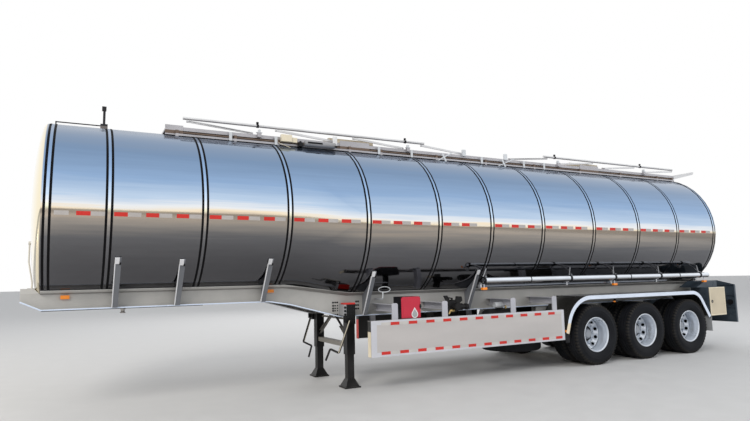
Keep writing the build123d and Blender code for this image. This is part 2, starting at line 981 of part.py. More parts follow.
left_guard = make_guard(left_guard_front)
right_guard = mirror(make_guard(right_guard_front), about=Plane.XZ)
save("side_guards", left_guard, right_guard)
guard_posts = [make_guard_post(post_place) for post_place in left_post_places]
guard_posts += [mirror(make_guard_post(post_place), about=Plane.XZ) for post_place in right_post_places]
save("guard_posts", *guard_posts)


# Chrome tube along each flank, hung from the tank, with a thinner conduit behind it
def make_tube():
    rounding = 20
    tube = rod((place(tube_front), tube_y, tube_height), (place(tube_rear), tube_y, tube_height), tube_radius)
    tube = fillet(tube.edges().filter_by(GeomType.CIRCLE), rounding)
    conduit = rod(
        (place(tube_front + conduit_front_gap), conduit_y, conduit_height),
        (place(tube_rear - conduit_rear_gap), conduit_y, conduit_height),
        conduit_radius,
    )
    return Compound([tube, conduit])


def make_strut(strut_place):
    collar_radius = tube_radius + collar_thickness
    x_front = strut_place - 18
    x_rear = strut_place + 18
    collar = rod((place(x_front), tube_y, tube_height), (place(x_rear), tube_y, tube_height), collar_radius)
    hole = rod((place(x_front), tube_y, tube_height), (place(x_rear), tube_y, tube_height), tube_radius + seat_gap)
    strut_line = [
        (tube_y - 14, tube_height + tube_radius + 3),
        (tube_y + 14, tube_height + tube_radius + 3),
        (tube_y - 20, 2100),
        (tube_y - 60, 2100),
    ]
    strut = section_prism(strut_line, x_front, x_rear) - tank_prism(x_front - 5, x_rear + 5, seat_gap)
    arm_line = [
        (conduit_y, tube_height - 70),
        (tube_y - 40, tube_height - 40),
        (tube_y - 40, tube_height - 20),
        (conduit_y - 30, tube_height - 50),
        (conduit_y - 30, conduit_height - 30),
        (conduit_y, conduit_height - 30),
    ]
    arm = section_prism(arm_line, x_front, x_rear)
    conduit_hole = rod(
        (place(x_front), conduit_y, conduit_height),
        (place(x_rear), conduit_y, conduit_height),
        conduit_radius + seat_gap,
    )
    return collar + strut + arm - hole - conduit_hole


save("side_tubes", *[solid for tube in both_sides(make_tube()) for solid in tube.solids()])
struts = []
for strut_place in strut_places:
    struts += both_sides(make_strut(strut_place))
save("tube_struts", *struts)

# Walkway on top of the tank, with its feet, side tubes, panels, rests and base blocks of the handrails
walkway = block(walk_front, walk_rear, -walk_half_width, walk_half_width, walk_bottom, walk_top)
for manhole_place in manhole_places:
    half = manhole_length / 2
    opening = block(
        manhole_place - half,
        manhole_place + half,
        -manhole_half_width,
        manhole_half_width,
        walk_bottom - 5,
        walk_top + 5,
    )
    walkway = walkway - opening


def make_walk_foot(foot_place):
    front = foot_place - walk_foot_width / 2
    rear = foot_place + walk_foot_width / 2
    foot = block(front, rear, walk_foot_inner, walk_foot_outer, walk_bottom - walk_strip_drop - 30, walk_bottom)
    return foot - tank_prism(front - 10, rear + 10, seat_gap)


def make_walk_side():
    curb_inner = walk_half_width - walk_curb_width
    side = block(walk_front, walk_rear, curb_inner, walk_half_width, walk_bottom, walk_top + walk_curb)
    tube_z = walk_bottom - walk_tube_drop
    tube_start = (place(walk_tube_front), walk_tube_y, tube_z)
    side = side + rod(tube_start, (place(walk_tube_rear), walk_tube_y, tube_z), walk_tube_radius)
    strip_inner = walk_foot_outer - walk_strip_width
    strip_span = (walk_tube_front, walk_tube_rear)
    strip_low = walk_bottom - walk_strip_drop
    strip_high = strip_low + walk_strip_height
    side = side + block(*strip_span, strip_inner, walk_foot_outer, strip_low, strip_high)
    for foot_place in walk_foot_places:
        side = side + make_walk_foot(foot_place)
    panel_outer = walk_half_width + walk_panel_thickness
    for front, rear, drop, rise in walk_panels:
        low = walk_bottom - drop
        side = side + block(front, rear, walk_half_width, panel_outer, low, walk_top + rise)
    for rest_place in rest_places:
        front = rest_place - rest_half_length
        rear = rest_place + rest_half_length
        side = side + block(front, rear, walk_half_width, walk_foot_outer, walk_bottom + 10, walk_top + rest_rise)
    return side


for side_piece in both_sides(make_walk_side()):
    walkway = walkway + side_piece

# Folding handrails: each rail rides on posts that lie flat when folded, rearwards in front and forwards behind
post_rise = handrail_height - lug_drop - base_pivot_height
post_run = math.sqrt(post_length**2 - post_rise**2)


def top_pivots(span):
    spacing = (span[1] - span[0] - 120) / (post_count - 1)
    return [span[0] + 60 + number * spacing for number in range(post_count)]


def make_post(top_back, base_back, hole_gap):
    top = Vector(place(top_back), post_y, handrail_height - lug_drop)
    base = Vector(place(base_back), post_y, base_pivot_height)
    middle = (top + base) * 0.5 + Vector(0, post_thickness / 2, 0)
    plane = Plane(origin=middle, x_dir=top - base, z_dir=(0, -1, 0))
    bar = extrude(plane * SlotCenterToCenter(post_length, post_height), amount=post_thickness)
    top_hole = cross_rod(top_back, top.Z, post_y - 20, post_y + 20, 6 + hole_gap)
    base_hole = cross_rod(base_back, base.Z, post_y - 20, post_y + 20, 8 + pin_gap)
    return bar - top_hole - base_hole


pin_end = post_y + post_thickness / 2 + 6
for name, span, fold in zip(("front", "rear"), handrail_spans, handrail_folds):
    rail = rod(
        (place(span[0]), handrail_y, handrail_height),
        (place(span[1]), handrail_y, handrail_height),
        handrail_radius,
    )
    for number, top_back in enumerate(top_pivots(span), 1):
        pivot_height = handrail_height - lug_drop
        lug = block(top_back - 14, top_back + 14, handrail_y - 5, handrail_y + 5, pivot_height - 12, handrail_height)
        rail = rail + lug + cross_rod(top_back, pivot_height, handrail_y, pin_end, 6)
        base_back = top_back + fold * post_run
        hole_gap = pin_gap if number == 1 else open_pin_gap
        save(f"handrail_post_{name}_{number}", make_post(top_back, base_back, hole_gap))
        walkway = walkway + block(base_back - 28, base_back + 28, 326, 356, walk_top - 2, base_pivot_height + 20)
        walkway = walkway + cross_rod(base_back, base_pivot_height, 345, pin_end, 8)
    save(f"handrail_{name}", rail)
save("walkway", walkway)

# Manholes: a spill box and collar on the tank, and a hinged lid
manholes = []
for name, manhole_place in zip(("front", "rear"), manhole_places):
    half = manhole_length / 2 - 1
    half_width = manhole_half_width - 1
    top = walk_top + manhole_height
    floor_bottom = walk_bottom + 1
    front_wall = manhole_place - half
    rear_wall = manhole_place + half
    inside_span = (front_wall + manhole_wall, rear_wall - manhole_wall, manhole_wall - half_width, half_width - manhole_wall)
    box = block(front_wall, rear_wall, -half_width, half_width, walk_bottom - 100, top)
    box = box - block(*inside_span, walk_bottom - 200, floor_bottom)
    box = box - block(*inside_span, floor_bottom + manhole_wall, top + 5)
    collar_top = walk_top + manhole_collar_height
    collar = extrude(Circle(lid_radius - 8) - Circle(lid_radius - 20), amount=collar_top - floor_bottom)
    collar = Pos(place(manhole_place), 0, floor_bottom) * collar
    hinge_x = manhole_place - lid_hinge_offset
    ears = block(hinge_x - 14, hinge_x + 14, -60, -48, floor_bottom, collar_top + 20)
    ears = ears + block(hinge_x - 14, hinge_x + 14, 48, 60, floor_bottom, collar_top + 20)
    hatch = box + collar + ears
    hatch = hatch - tank_prism(front_wall - 20, rear_wall + 20, band_thickness + 2 * seat_gap)
    manholes.append(hatch)
    lid_bottom = collar_top + seat_gap
    lid = Pos(place(manhole_place), 0, lid_bottom) * extrude(Circle(lid_radius), amount=16)
    dome = Pos(place(manhole_place), 0, lid_bottom + 16) * extrude(Circle(lid_radius - 60), amount=12)
    tongue = block(hinge_x, manhole_place - lid_radius + 20, -40, 40, lid_bottom, lid_bottom + 16)
    knuckle = rod((place(hinge_x), -43, lid_bottom + 8), (place(hinge_x), 43, lid_bottom + 8), 10)
    save(f"manhole_lid_{name}", lid + dome + tongue + knuckle)
save("manhole_boxes", *manholes)

# Extinguisher box on the left, its door hinged at the front edge
shell = block(box_front, box_rear, box_inner, box_outer, box_low, box_high)
shell = shell - block(
    box_front + box_wall,
    box_rear - box_wall,
    box_inner + box_wall,
    box_outer + box_wall,
    box_low + box_wall,
    box_high - box_wall,
)
arm_middle = (box_front + box_rear) / 2
arm_height = (box_low + box_high) / 2
arm = block(arm_middle - 35, arm_middle + 35, outer_face, box_inner, arm_height - 44, arm_height + 26)
save("extinguisher_box", shell + arm)
door = block(box_front, box_rear, box_outer + box_door_gap, box_door_outer, box_low, box_high)
save("extinguisher_door", door)


# Rear cabinets with side doors, hinged at their rear edge
def make_cabinet():
    outer = overall_width / 2 - door_thickness - box_door_gap
    cabinet = block(cabinet_front, cabinet_rear, cabinet_inner, outer, cabinet_bottom, cabinet_top)
    cabinet = cabinet - block(
        cabinet_front + cabinet_wall,
        cabinet_rear - cabinet_wall,
        cabinet_inner + cabinet_wall,
        outer + 5,
        cabinet_bottom + cabinet_wall,
        cabinet_top - cabinet_wall,
    )
    for arm_back in (cabinet_front + cabinet_arm_inset, cabinet_rear - cabinet_arm_inset):
        arm_span = (arm_back - cabinet_arm_half, arm_back + cabinet_arm_half)
        cabinet = cabinet + block(*arm_span, outer_face, cabinet_inner, cabinet_arm_bottom, cabinet_arm_top)
    cover_line = [
        (cover_front, cabinet_top),
        (cover_slope_end, cover_top),
        (cabinet_rear, cover_top),
        (cabinet_rear, cabinet_top),
    ]
    return cabinet + side_prism(cover_line, cover_inner, cover_outer)


save("rear_cabinets", *both_sides(make_cabinet()))
door_face = overall_width / 2
cabinet_door = block(
    cabinet_front,
    cabinet_rear,
    door_face - door_thickness,
    door_face,
    cabinet_bottom,
    cabinet_top,
)
lock_back = cabinet_front + lock_offset
cabinet_door = cabinet_door - cross_rod(lock_back, lock_height, door_face - lock_depth, door_face + 1, lock_radius)
cabinet_door = cabinet_door + cross_rod(
    lock_back, lock_height, door_face - lock_depth, door_face - 1, lock_button_radius
)
for side, door in zip(("left", "right"), both_sides(cabinet_door)):
    save(f"cabinet_door_{side}", door)

# Tail plate across the rear end with a sloping top edge, ribs, lamp housings and the guard channel behind it
half_width = overall_width / 2
tail_face = rail_end + tail_sheet
tail_outline = [
    (-half_width, tail_bottom),
    (half_width, tail_bottom),
    (half_width, tail_edge_top),
    (tail_slope_y, tail_top),
    (-tail_slope_y, tail_top),
    (-half_width, tail_edge_top),
]
tail = section_prism(tail_outline, rail_end, tail_face)


def make_tail_side():
    front = rail_end - tail_return
    side = block(front, rail_end, half_width - tail_sheet, half_width, tail_bottom, tail_edge_top)
    for height in (tail_bottom, *tail_rib_heights, tail_edge_top - tail_sheet):
        side = side + block(front, rail_end, tail_rib_inner, half_width, height, height + tail_sheet)
    for y in tail_lamp_places:
        start = (place(rail_end - lamp_housing_depth), y, tail_lamp_height)
        side = side + rod(start, (place(rail_end), y, tail_lamp_height), lamp_housing_radius)
    return side


for side_piece in both_sides(make_tail_side()):
    tail = tail + side_piece
channel_end = tail_face + guard_channel_depth
guard_channel = block(
    tail_face,
    channel_end,
    -guard_channel_half,
    guard_channel_half,
    guard_channel_bottom,
    guard_channel_top,
)
guard_channel = guard_channel - block(
    tail_face + guard_channel_wall,
    channel_end + 5,
    -guard_channel_half - 5,
    guard_channel_half + 5,
    guard_channel_bottom + guard_channel_wall,
    guard_channel_top - guard_channel_wall,
)
save("tail_plate", tail + guard_channel)
lamps = []
for y in tail_lamp_places:
    lamp_end = place(tail_face + tail_lamp_depth)
    lamp = rod((place(tail_face), y, tail_lamp_height), (lamp_end, y, tail_lamp_height), tail_lamp_radius)
    lamps += both_sides(lamp)
save("tail_lamps", *lamps)

# Sloping step behind the walkway, and the ladder that hangs from its end
step_edge = walk_half_width + end_step_wall
ladder_ends = (ladder_y - ladder_half_width, ladder_y + ladder_half_width)
ladder = block(walk_rear, walk_rear + 30, -step_edge, step_edge, walk_bottom, walk_top)
step_run = ladder_back - walk_rear
step_rise = ladder_top - walk_top
step_line = [
    (walk_rear, walk_bottom - walk_thickness),
    (walk_rear, walk_top),
    (ladder_back, ladder_top + ladder_radius),
    (ladder_back, ladder_top + ladder_radius - end_step_depth),
]
for side_piece in both_sides(side_prism(step_line, walk_half_width, step_edge)):
    ladder = ladder + side_piece
for number in range(1, end_step_treads + 1):
    share = number / (end_step_treads + 1)
    tread = walk_rear + share * step_run
    height = walk_top + share * step_rise
    ladder = ladder + block(tread - 40, tread + 40, -walk_half_width, walk_half_width, height - 20, height)
ladder = ladder + cross_rod(ladder_back, ladder_top, ladder_ends[0], step_edge, ladder_radius)
for y in ladder_ends:
    ladder = ladder + rod((place(ladder_back), y, ladder_bottom), (place(ladder_back), y, ladder_top), ladder_radius)
    for z in ladder_bracket_heights:
        ladder = ladder + block(tail_face, ladder_back, y - 15, y + 15, z, z + 30)
for number in range(rung_count):
    z = ladder_bottom + first_rung + rung_spacing * number
    ladder = ladder + cross_rod(ladder_back, z, *ladder_ends, rung_radius)

# Stay from a rung to the rear head
stay_height = ladder_bottom + first_rung + rung_spacing * ladder_stay_rung
head_back = tank_rear + head_steps[-1] * rear_head_depth + seat_gap
stay_foot = (place(head_back), ladder_y, stay_height)
ladder = ladder + rod(stay_foot, (place(ladder_back), ladder_y, stay_height), ladder_stay_radius)
ladder = ladder + rod(stay_foot, (place(head_back + 10), ladder_y, stay_height), 60)
save("rear_ladder", ladder)

# Air reservoirs hung from the guard beams
reservoirs = []
for side in (-1, 1):
    start = (place(reservoir_back - reservoir_length / 2), side * reservoir_y, reservoir_height)
    end = (place(reservoir_back + reservoir_length / 2), side * reservoir_y, reservoir_height)
    reservoir = rod(start, end, reservoir_radius)
    reservoir = fillet(reservoir.edges().filter_by(GeomType.CIRCLE), 50)
    strap = block(
        reservoir_back - 30,
        reservoir_back + 30,
        side * reservoir_y - 60,
        side * reservoir_y + 60,
        reservoir_height,
        guard_beam_bottom,
    )
    reservoirs.append(reservoir + strap)
save("air_reservoirs", *reservoirs)

# Spare wheel lying flat under the frame, held by its carrier
spare_middle = spare_bottom + tyre_width / 2


def spin_flat(points):
    plane = Plane(origin=(place(spare_back), spare_y, 0), x_dir=(1, 0, 0), z_dir=(0, -1, 0))
    face = plane * make_face(Polyline(list(points), close=True))
    return revolve(face, Axis((place(spare_back), spare_y, 0), (0, 0, 1)), 360)


save("spare_tyre", spin_flat(tyre_profile(spare_middle)))
rim_ring = spin_flat(rim_profile(spare_middle))
spare_disc_profile = (
    (30, 0),
    (225, 0),
    (262, 20),
    (262, 40),
    (215, 12),
    (30, 12),
)
spare_disc = spin_flat([(radius, spare_disc_height + rise) for radius, rise in spare_disc_profile])
plate_bottom = spare_disc_height - 20
carrier_foot = (place(spare_back), spare_y, plate_bottom)
carrier_rod = rod(carrier_foot, (place(spare_back), spare_y, carrier_top), carrier_radius)
carrier_plate = rod(carrier_foot, (place(spare_back), spare_y, spare_disc_height + 2), 90)
carrier_beam = block(spare_back - 40, spare_back + 40, -500, 500, rear_rail_bottom, rear_rail_bottom + 20)
save("spare_wheel", rim_ring + spare_disc + carrier_rod + carrier_plate + carrier_beam)

# Discharge pipe: down from the tank, out through the left rail to a butterfly valve with its lever
pipe_top = tank_top - 2 * rear_half_height - seat_gap
riser = rod((place(pipe_back), 0, pipe_height), (place(pipe_back), 0, pipe_top), riser_radius)
run = cross_rod(pipe_back, pipe_height, -riser_radius - 20, outlet_end, pipe_radius)
valve = cross_rod(pipe_back, pipe_height, valve_inner, valve_outer, valve_radius)
for flange_face in (valve_inner, valve_outer - valve_flange):
    valve = valve + cross_rod(pipe_back, pipe_height, flange_face, flange_face + valve_flange, valve_flange_radius)
lever_y = (valve_inner + valve_outer) / 2
stem = rod((place(pipe_back), lever_y, pipe_height), (place(pipe_back), lever_y, lever_height + 10), 14)
lever_end = (place(pipe_back - lever_reach), lever_y + 40, lever_height + 20)
lever = rod((place(pipe_back), lever_y, lever_height), lever_end, 10)
save("discharge_pipe", riser + run + valve + stem + lever)

# Amber marker lamps on the rails, and hung from the chrome tubes by their stems
markers = []
for lamp_back, half in marker_places:
    lens_span = (lamp_back - half, lamp_back + half)
    lens = block(*lens_span, outer_face, outer_face + marker_depth, marker_bottom, marker_top)
    markers += both_sides(lens)
lens_height = tube_height - side_lamp_drop
for lamp_back in side_lamp_places:
    hung_from = tube_radius + (collar_thickness if lamp_back in strut_places else 0)
    lens = block(
        lamp_back - side_lamp_half_length,
        lamp_back + side_lamp_half_length,
        tube_y - side_lamp_half_width,
        tube_y + side_lamp_half_width,
        lens_height - 20,
        lens_height + 20,
    )
    stem_top = tube_height - hung_from - seat_gap
    stem = rod((place(lamp_back), tube_y, lens_height), (place(lamp_back), tube_y, stem_top), 9)
    markers += both_sides(lens + stem)
save("marker_lamps", *markers)

# Vent on its block at the front of the tank top, with the line that leads to the front
on_band = tank_top + band_thickness + 2 * seat_gap
vent_front = vent_back - vent_base_half
vent_rear = vent_back + vent_base_half
vent = block(vent_front, vent_rear, -vent_base_half, vent_base_half, on_band, vent_base_top)
vent = vent + rod((place(vent_back), 0, vent_base_top), (place(vent_back), 0, vent_head_bottom), vent_radius)
vent = vent + block(vent_back - 30, vent_back + 24, -24, 24, vent_head_bottom, vent_top)
line_start = (place(vent_back), 0, vent_line_height)
line_end = (place(vent_line_end), 0, vent_line_height)
vent = vent + rod(line_start, line_end, vent_line_radius)
line_foot = (place(vent_line_end), 0, on_band)
vent = vent + rod(line_foot, (place(vent_line_end), 0, vent_line_height + vent_line_radius), vent_line_radius)

# Pipe from a fitting on the front head down to the nose plate
head_front = tank_front - head_steps[-1] * front_head_depth - seat_gap
fitting_start = (place(head_front), head_pipe_y, head_fitting_height)
fitting = rod(fitting_start, (place(head_front - 26), head_pipe_y, head_fitting_height), head_fitting_radius)
head_pipe = bent_rod([(back, head_pipe_y, z) for back, z in head_pipe_route], head_pipe_radius, head_pipe_bend)
save("vent_riser", vent, fitting + head_pipe)
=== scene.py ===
import bmesh
import bpy
import math
from mathutils import Matrix, Vector


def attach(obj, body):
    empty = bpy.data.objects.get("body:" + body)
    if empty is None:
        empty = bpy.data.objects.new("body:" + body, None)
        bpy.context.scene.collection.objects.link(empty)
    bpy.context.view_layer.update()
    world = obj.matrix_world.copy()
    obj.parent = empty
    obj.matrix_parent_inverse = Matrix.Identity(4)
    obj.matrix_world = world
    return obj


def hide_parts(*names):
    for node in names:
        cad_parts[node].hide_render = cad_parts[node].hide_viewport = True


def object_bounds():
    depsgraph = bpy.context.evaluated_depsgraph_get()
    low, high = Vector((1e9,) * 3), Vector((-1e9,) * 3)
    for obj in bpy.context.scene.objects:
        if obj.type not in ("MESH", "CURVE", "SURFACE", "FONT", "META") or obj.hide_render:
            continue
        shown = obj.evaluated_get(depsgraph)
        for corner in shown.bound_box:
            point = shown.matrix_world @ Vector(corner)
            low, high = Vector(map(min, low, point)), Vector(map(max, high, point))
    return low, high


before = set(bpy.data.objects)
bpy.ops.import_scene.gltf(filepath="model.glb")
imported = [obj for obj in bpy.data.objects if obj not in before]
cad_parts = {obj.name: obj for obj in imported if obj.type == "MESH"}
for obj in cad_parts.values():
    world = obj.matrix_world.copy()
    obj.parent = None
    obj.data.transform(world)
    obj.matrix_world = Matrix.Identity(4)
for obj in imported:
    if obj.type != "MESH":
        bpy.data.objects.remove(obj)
boxLow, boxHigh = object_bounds()
halfLength = boxHigh.x
print("stage: frame loaded")


# metres behind the chassis nose, turned into X
def place(back):
    return halfLength - back


def at(back, y, z):
    return (place(back), y, z)


# Shapes: each function gives (points, faces), and joined() puts several into one
def joined(*shapes):
    points = []
    faces = []
    for shapePoints, shapeFaces in shapes:
        start = len(points)
        points += [tuple(p) for p in shapePoints]
        faces += [[start + i for i in face] for face in shapeFaces]
    return points, faces


def mirrored(shape):
    points, faces = shape
    return [(x, -y, z) for x, y, z in points], [list(reversed(face)) for face in faces]


def bothSides(shape):
    return joined(shape, mirrored(shape))


# a skin over loops of as many points each: its two ends are capped, open or joined to each other
def rings(loops, ends="capped"):
    rows = len(loops)
    count = len(loops[0])
    faces = []
    for i in range(rows if ends == "joined" else rows - 1):
        here = i * count
        there = (i + 1) % rows * count
        for k in range(count):
            j = (k + 1) % count
            faces.append([here + j, here + k, there + k, there + j])
    if ends == "capped":
        faces += [list(range(count)), [(rows - 1) * count + k for k in reversed(range(count))]]
    return [tuple(p) for loop in loops for p in loop], faces


def box2d(back0, back1, z0, z1):
    return [(back0, z0), (back1, z0), (back1, z1), (back0, z1)]


# outline of (back, height) pushed along Y
def sidePrism(outline, y0, y1):
    return rings([[at(back, y, z) for back, z in outline] for y in (y0, y1)])


# outline of (y, height) pushed along the length, as thin as a plate or as wide as a flange
def crossPrism(outline, back0, back1):
    return rings([[at(back, y, z) for y, z in outline] for back in (back0, back1)])


def block(back0, back1, y0, y1, z0, z1):
    return sidePrism(box2d(back0, back1, z0, z1), y0, y1)


def blocks(*sizes):
    return joined(*[block(*size) for size in sizes])


# blocks at several places, their first two numbers measured from the place
def blocksAt(places, *sizes):
    return blocks(*[(back + front, back + rear, *rest) for back in places for front, rear, *rest in sizes])


# a flat frame between two outlines of as many points, standing from y0 to y1
def sideFrame(outer, inner, y0, y1):
    loops = ((outer, y0), (inner, y0), (inner, y1), (outer, y1))
    return rings([[at(back, y, z) for back, z in loop] for loop, y in loops], "joined")


def arc(back, z, radius, first, last, steps):
    angles = [first + (last - first) * k / steps for k in range(steps + 1)]
    return [(back + radius * math.cos(a), z + radius * math.sin(a)) for a in angles]


# rectangle with its upper corners rounded
def roundedTop(back0, back1, z0, z1, radius, steps=6):
    left = arc(back0 + radius, z1 - radius, radius, math.pi, math.pi / 2, steps)
    right = arc(back1 - radius, z1 - radius, radius, math.pi / 2, 0, steps)
    return [(back0, z0), *left, *right, (back1, z0)]


# path of (back, height) points with rounded corners, moved inwards by a depth
def roundedPath(corners, radii, depth, steps=14):
    spots = [Vector(corner) for corner in corners]
    path = []
    for i, spot in enumerate(spots):
        if i in (0, len(spots) - 1):
            run = spots[min(i + 1, len(spots) - 1)] - spots[max(i - 1, 0)]
            path.append(spot - Vector((-run.y, run.x)).normalized() * depth)
            continue
        before = (spots[i - 1] - spot).normalized()
        after = (spots[i + 1] - spot).normalized()
        half = before.angle(after) / 2
        radius = radii[i - 1]
        centre = spot + (before + after).normalized() * radius / math.sin(half)
        first = spot + before * radius / math.tan(half) - centre
        last = spot + after * radius / math.tan(half) - centre
        outs = [first.lerp(last, k / steps).normalized() for k in range(steps + 1)]
        path += [centre + out * (radius - depth) for out in outs]
    return [tuple(p) for p in path]


def fullTurn(steps):
    return [2 * math.pi * k / steps for k in range(steps)]


# closed profile of (radius, along) turned about the line through (x, z) along Y
def turned(profile, x, z, sides=96):
    loops = [[(x + r * math.cos(a), y, z + r * math.sin(a)) for r, y in profile] for a in fullTurn(sides)]
    return rings(loops, "joined")


# profile of (radius, along) turned about a line from start towards end
def spindle(start, end, profile, sides=24):
    start = Vector(start)
    along = (Vector(end) - start).normalized()
    side = along.orthogonal().normalized()
    other = along.cross(side)
    outs = [side * math.cos(a) + other * math.sin(a) for a in fullTurn(sides)]
    return rings([[start + along * t + out * r for out in outs] for r, t in profile])


# a turned form along X at ((front, rear), y, z, radius)
# its steps are (share of the radius, distance from that end)
def barrel(spot, tip, ahead, behind, sides):
    (front, rear), y, z, radius = spot
    length = rear - front
    profile = [(tip, 0)] + [(radius * share, t) for share, t in ahead]
    profile += [(radius * share, length - t) for share, t in behind] + [(tip, length)]
    return spindle(at(front, y, z), at(rear, y, z), profile, sides)


def cleanMesh(mesh, weld=0.0):
    work = bmesh.new()
    work.from_mesh(mesh)
    if weld:
        bmesh.ops.remove_doubles(work, verts=work.verts, dist=weld)
    bmesh.ops.recalc_face_normals(work, faces=work.faces)
    work.to_mesh(mesh)
    work.free()


def soften(item, width, degrees):
    edge = item.modifiers.new("edges", "BEVEL")
    edge.width = width
    edge.segments = 2
    edge.limit_method = "ANGLE"
    edge.angle_limit = math.radians(degrees)


def finishPiece(item, body, bevel, smoothAngle, replaces):
    mesh = item.data
    mesh.polygons.foreach_set("use_smooth", [True] * len(mesh.polygons))
    mesh.set_sharp_from_angle(angle=math.radians(smoothAngle))
    if bevel:
        soften(item, bevel, smoothAngle)
    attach(item, body)
    if replaces:
        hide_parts(*replaces)
    return item


def newObject(name, content):
    item = bpy.data.objects.new(name, content)
    bpy.context.scene.collection.objects.link(item)
    return item


def newMesh(name, shape, material):
    mesh = bpy.data.meshes.new(name)
    mesh.from_pydata([tuple(p) for p in shape[0]], [], shape[1])
    mesh.validate()
    mesh.materials.append(material)
    return mesh


def addPiece(name, shape, material, body="chassis", bevel=0.0, smoothAngle=35, replaces=(),
             clean=True):
    mesh = newMesh(name, shape, material)
    if clean:
        cleanMesh(mesh)
    return finishPiece(newObject(name, mesh), body, bevel, smoothAngle, replaces)


# a link from another node's output, or a constant on the socket itself
def feed(tree, socket, value):
    if isinstance(value, bpy.types.NodeSocket):
        tree.links.new(value, socket)
    else:
        socket.default_value = value


# Geometry Nodes: trees with named inputs, and grown() turns one on a seed mesh into a plain piece
def addNode(tree, kind, inputs=None, **settings):
    node = tree.nodes.new(kind)
    for key, value in settings.items():
        setattr(node, key, value)
    for label, value in (inputs or {}).items():
        feed(tree, node.inputs[label], value)
    return node


def openTree(name, **sizes):
    tree = bpy.data.node_groups.new(name, "GeometryNodeTree")
    tree.interface.new_socket("Geometry", in_out="INPUT", socket_type="NodeSocketGeometry")
    tree.interface.new_socket("Geometry", in_out="OUTPUT", socket_type="NodeSocketGeometry")
    for label, kind in sizes.items():
        tree.interface.new_socket(label, in_out="INPUT", socket_type="NodeSocket" + kind)
    tree.interface.new_socket("finish", in_out="INPUT", socket_type="NodeSocketMaterial")
    return tree, addNode(tree, "NodeGroupInput").outputs


def closeTree(tree, given, geometry):
    whole = addNode(tree, "GeometryNodeRealizeInstances", {"Geometry": geometry})
    finish = {"Geometry": whole.outputs["Geometry"], "Material": given["finish"]}
    painted = addNode(tree, "GeometryNodeSetMaterial", finish)
    addNode(tree, "NodeGroupOutput", {"Geometry": painted.outputs["Geometry"]})
    return tree


def mathNode(tree, operation, first, second):
    node = addNode(tree, "ShaderNodeMath", operation=operation)
    feed(tree, node.inputs[0], first)
    feed(tree, node.inputs[1], second)
    return node.outputs[0]


def xyzNode(tree, x, y, z):
    return addNode(tree, "ShaderNodeCombineXYZ", {"X": x, "Y": y, "Z": z}).outputs["Vector"]


# an oval bead along each line of the seed, which is closed, or open with its corners bent to a radius
def beadTree(name, **bends):
    tree, given = openTree(name, halfWidth="Float", height="Float", sides="Int", **bends)
    line = addNode(tree, "GeometryNodeMeshToCurve", {"Mesh": given["Geometry"]}).outputs["Curve"]
    if bends:
        corners = {"Curve": line, "Radius": given["bend"], "Count": given["steps"], "Limit Radius": True}
        line = addNode(tree, "GeometryNodeFilletCurve", corners, mode="POLY").outputs["Curve"]
    circle = addNode(tree, "GeometryNodeCurvePrimitiveCircle", {"Radius": 1.0, "Resolution": given["sides"]})
    size = xyzNode(tree, given["halfWidth"], given["height"], 1.0)
    profile = addNode(tree, "GeometryNodeTransform", {"Geometry": circle.outputs["Curve"], "Scale": size})
    swept = {"Curve": line, "Profile Curve": profile.outputs["Geometry"], "Fill Caps": True}
    return closeTree(tree, given, addNode(tree, "GeometryNodeCurveToMesh", swept).outputs["Mesh"])


def copiesNode(tree, **inputs):
    return addNode(tree, "GeometryNodeInstanceOnPoints", inputs).outputs["Instances"]


# copies of the seed turned about the line through centre along Y
def turnTree():
    tree, given = openTree("turn", count="Int", centre="Vector", start="Float")
    points = addNode(tree, "GeometryNodePoints", {"Count": given["count"], "Position": given["centre"]})
    index = addNode(tree, "GeometryNodeInputIndex").outputs["Index"]
    step = mathNode(tree, "DIVIDE", 2 * math.pi, given["count"])
    angle = mathNode(tree, "ADD", mathNode(tree, "MULTIPLY", index, step), given["start"])
    turn = addNode(tree, "FunctionNodeEulerToRotation", {"Euler": xyzNode(tree, 0.0, angle, 0.0)})
    copies = copiesNode(tree, Points=points.outputs["Points"], Instance=given["Geometry"],
                        Rotation=turn.outputs["Rotation"])
    return closeTree(tree, given, copies)


# copies of the seed in a straight row
def rowTree():
    tree, given = openTree("row", count="Int", step="Vector")
    points = addNode(tree, "GeometryNodePoints", {"Count": given["count"]})
    index = addNode(tree, "GeometryNodeInputIndex").outputs["Index"]
    scaled = {"Vector": given["step"], "Scale": index}
    offset = addNode(tree, "ShaderNodeVectorMath", scaled, operation="SCALE").outputs["Vector"]
    spread = {"Geometry": points.outputs["Points"], "Position": offset}
    moved = addNode(tree, "GeometryNodeSetPosition", spread).outputs["Geometry"]
    return closeTree(tree, given, copiesNode(tree, Points=moved, Instance=given["Geometry"]))


# one shape on each point of the seed, its Z axis along the point's facing
def setOnPoints(tree, given, shape):
    facing = addNode(tree, "GeometryNodeInputNamedAttribute", {"Name": "facing"}, data_type="FLOAT_VECTOR")
    towards = {"Vector": facing.outputs["Attribute"]}
    aim = addNode(tree, "FunctionNodeAlignRotationToVector", towards, axis="Z")
    copies = copiesNode(tree, Points=given["Geometry"], Instance=shape, Rotation=aim.outputs["Rotation"])
    return closeTree(tree, given, copies)


# a washer with a six-sided head through it
def boltTree():
    tree, given = openTree("bolt", radius="Float", height="Float")
    both = addNode(tree, "GeometryNodeJoinGeometry")
    for sides, wide, deep in ((12, 1.35, 0.6), (6, 1.0, 2.0)):
        size = {"Vertices": sides, "Radius": mathNode(tree, "MULTIPLY", given["radius"], wide),
                "Depth": mathNode(tree, "MULTIPLY", given["height"], deep)}
        part = addNode(tree, "GeometryNodeMeshCylinder", size)
        tree.links.new(part.outputs["Mesh"], both.inputs[0])
    return setOnPoints(tree, given, both.outputs["Geometry"])


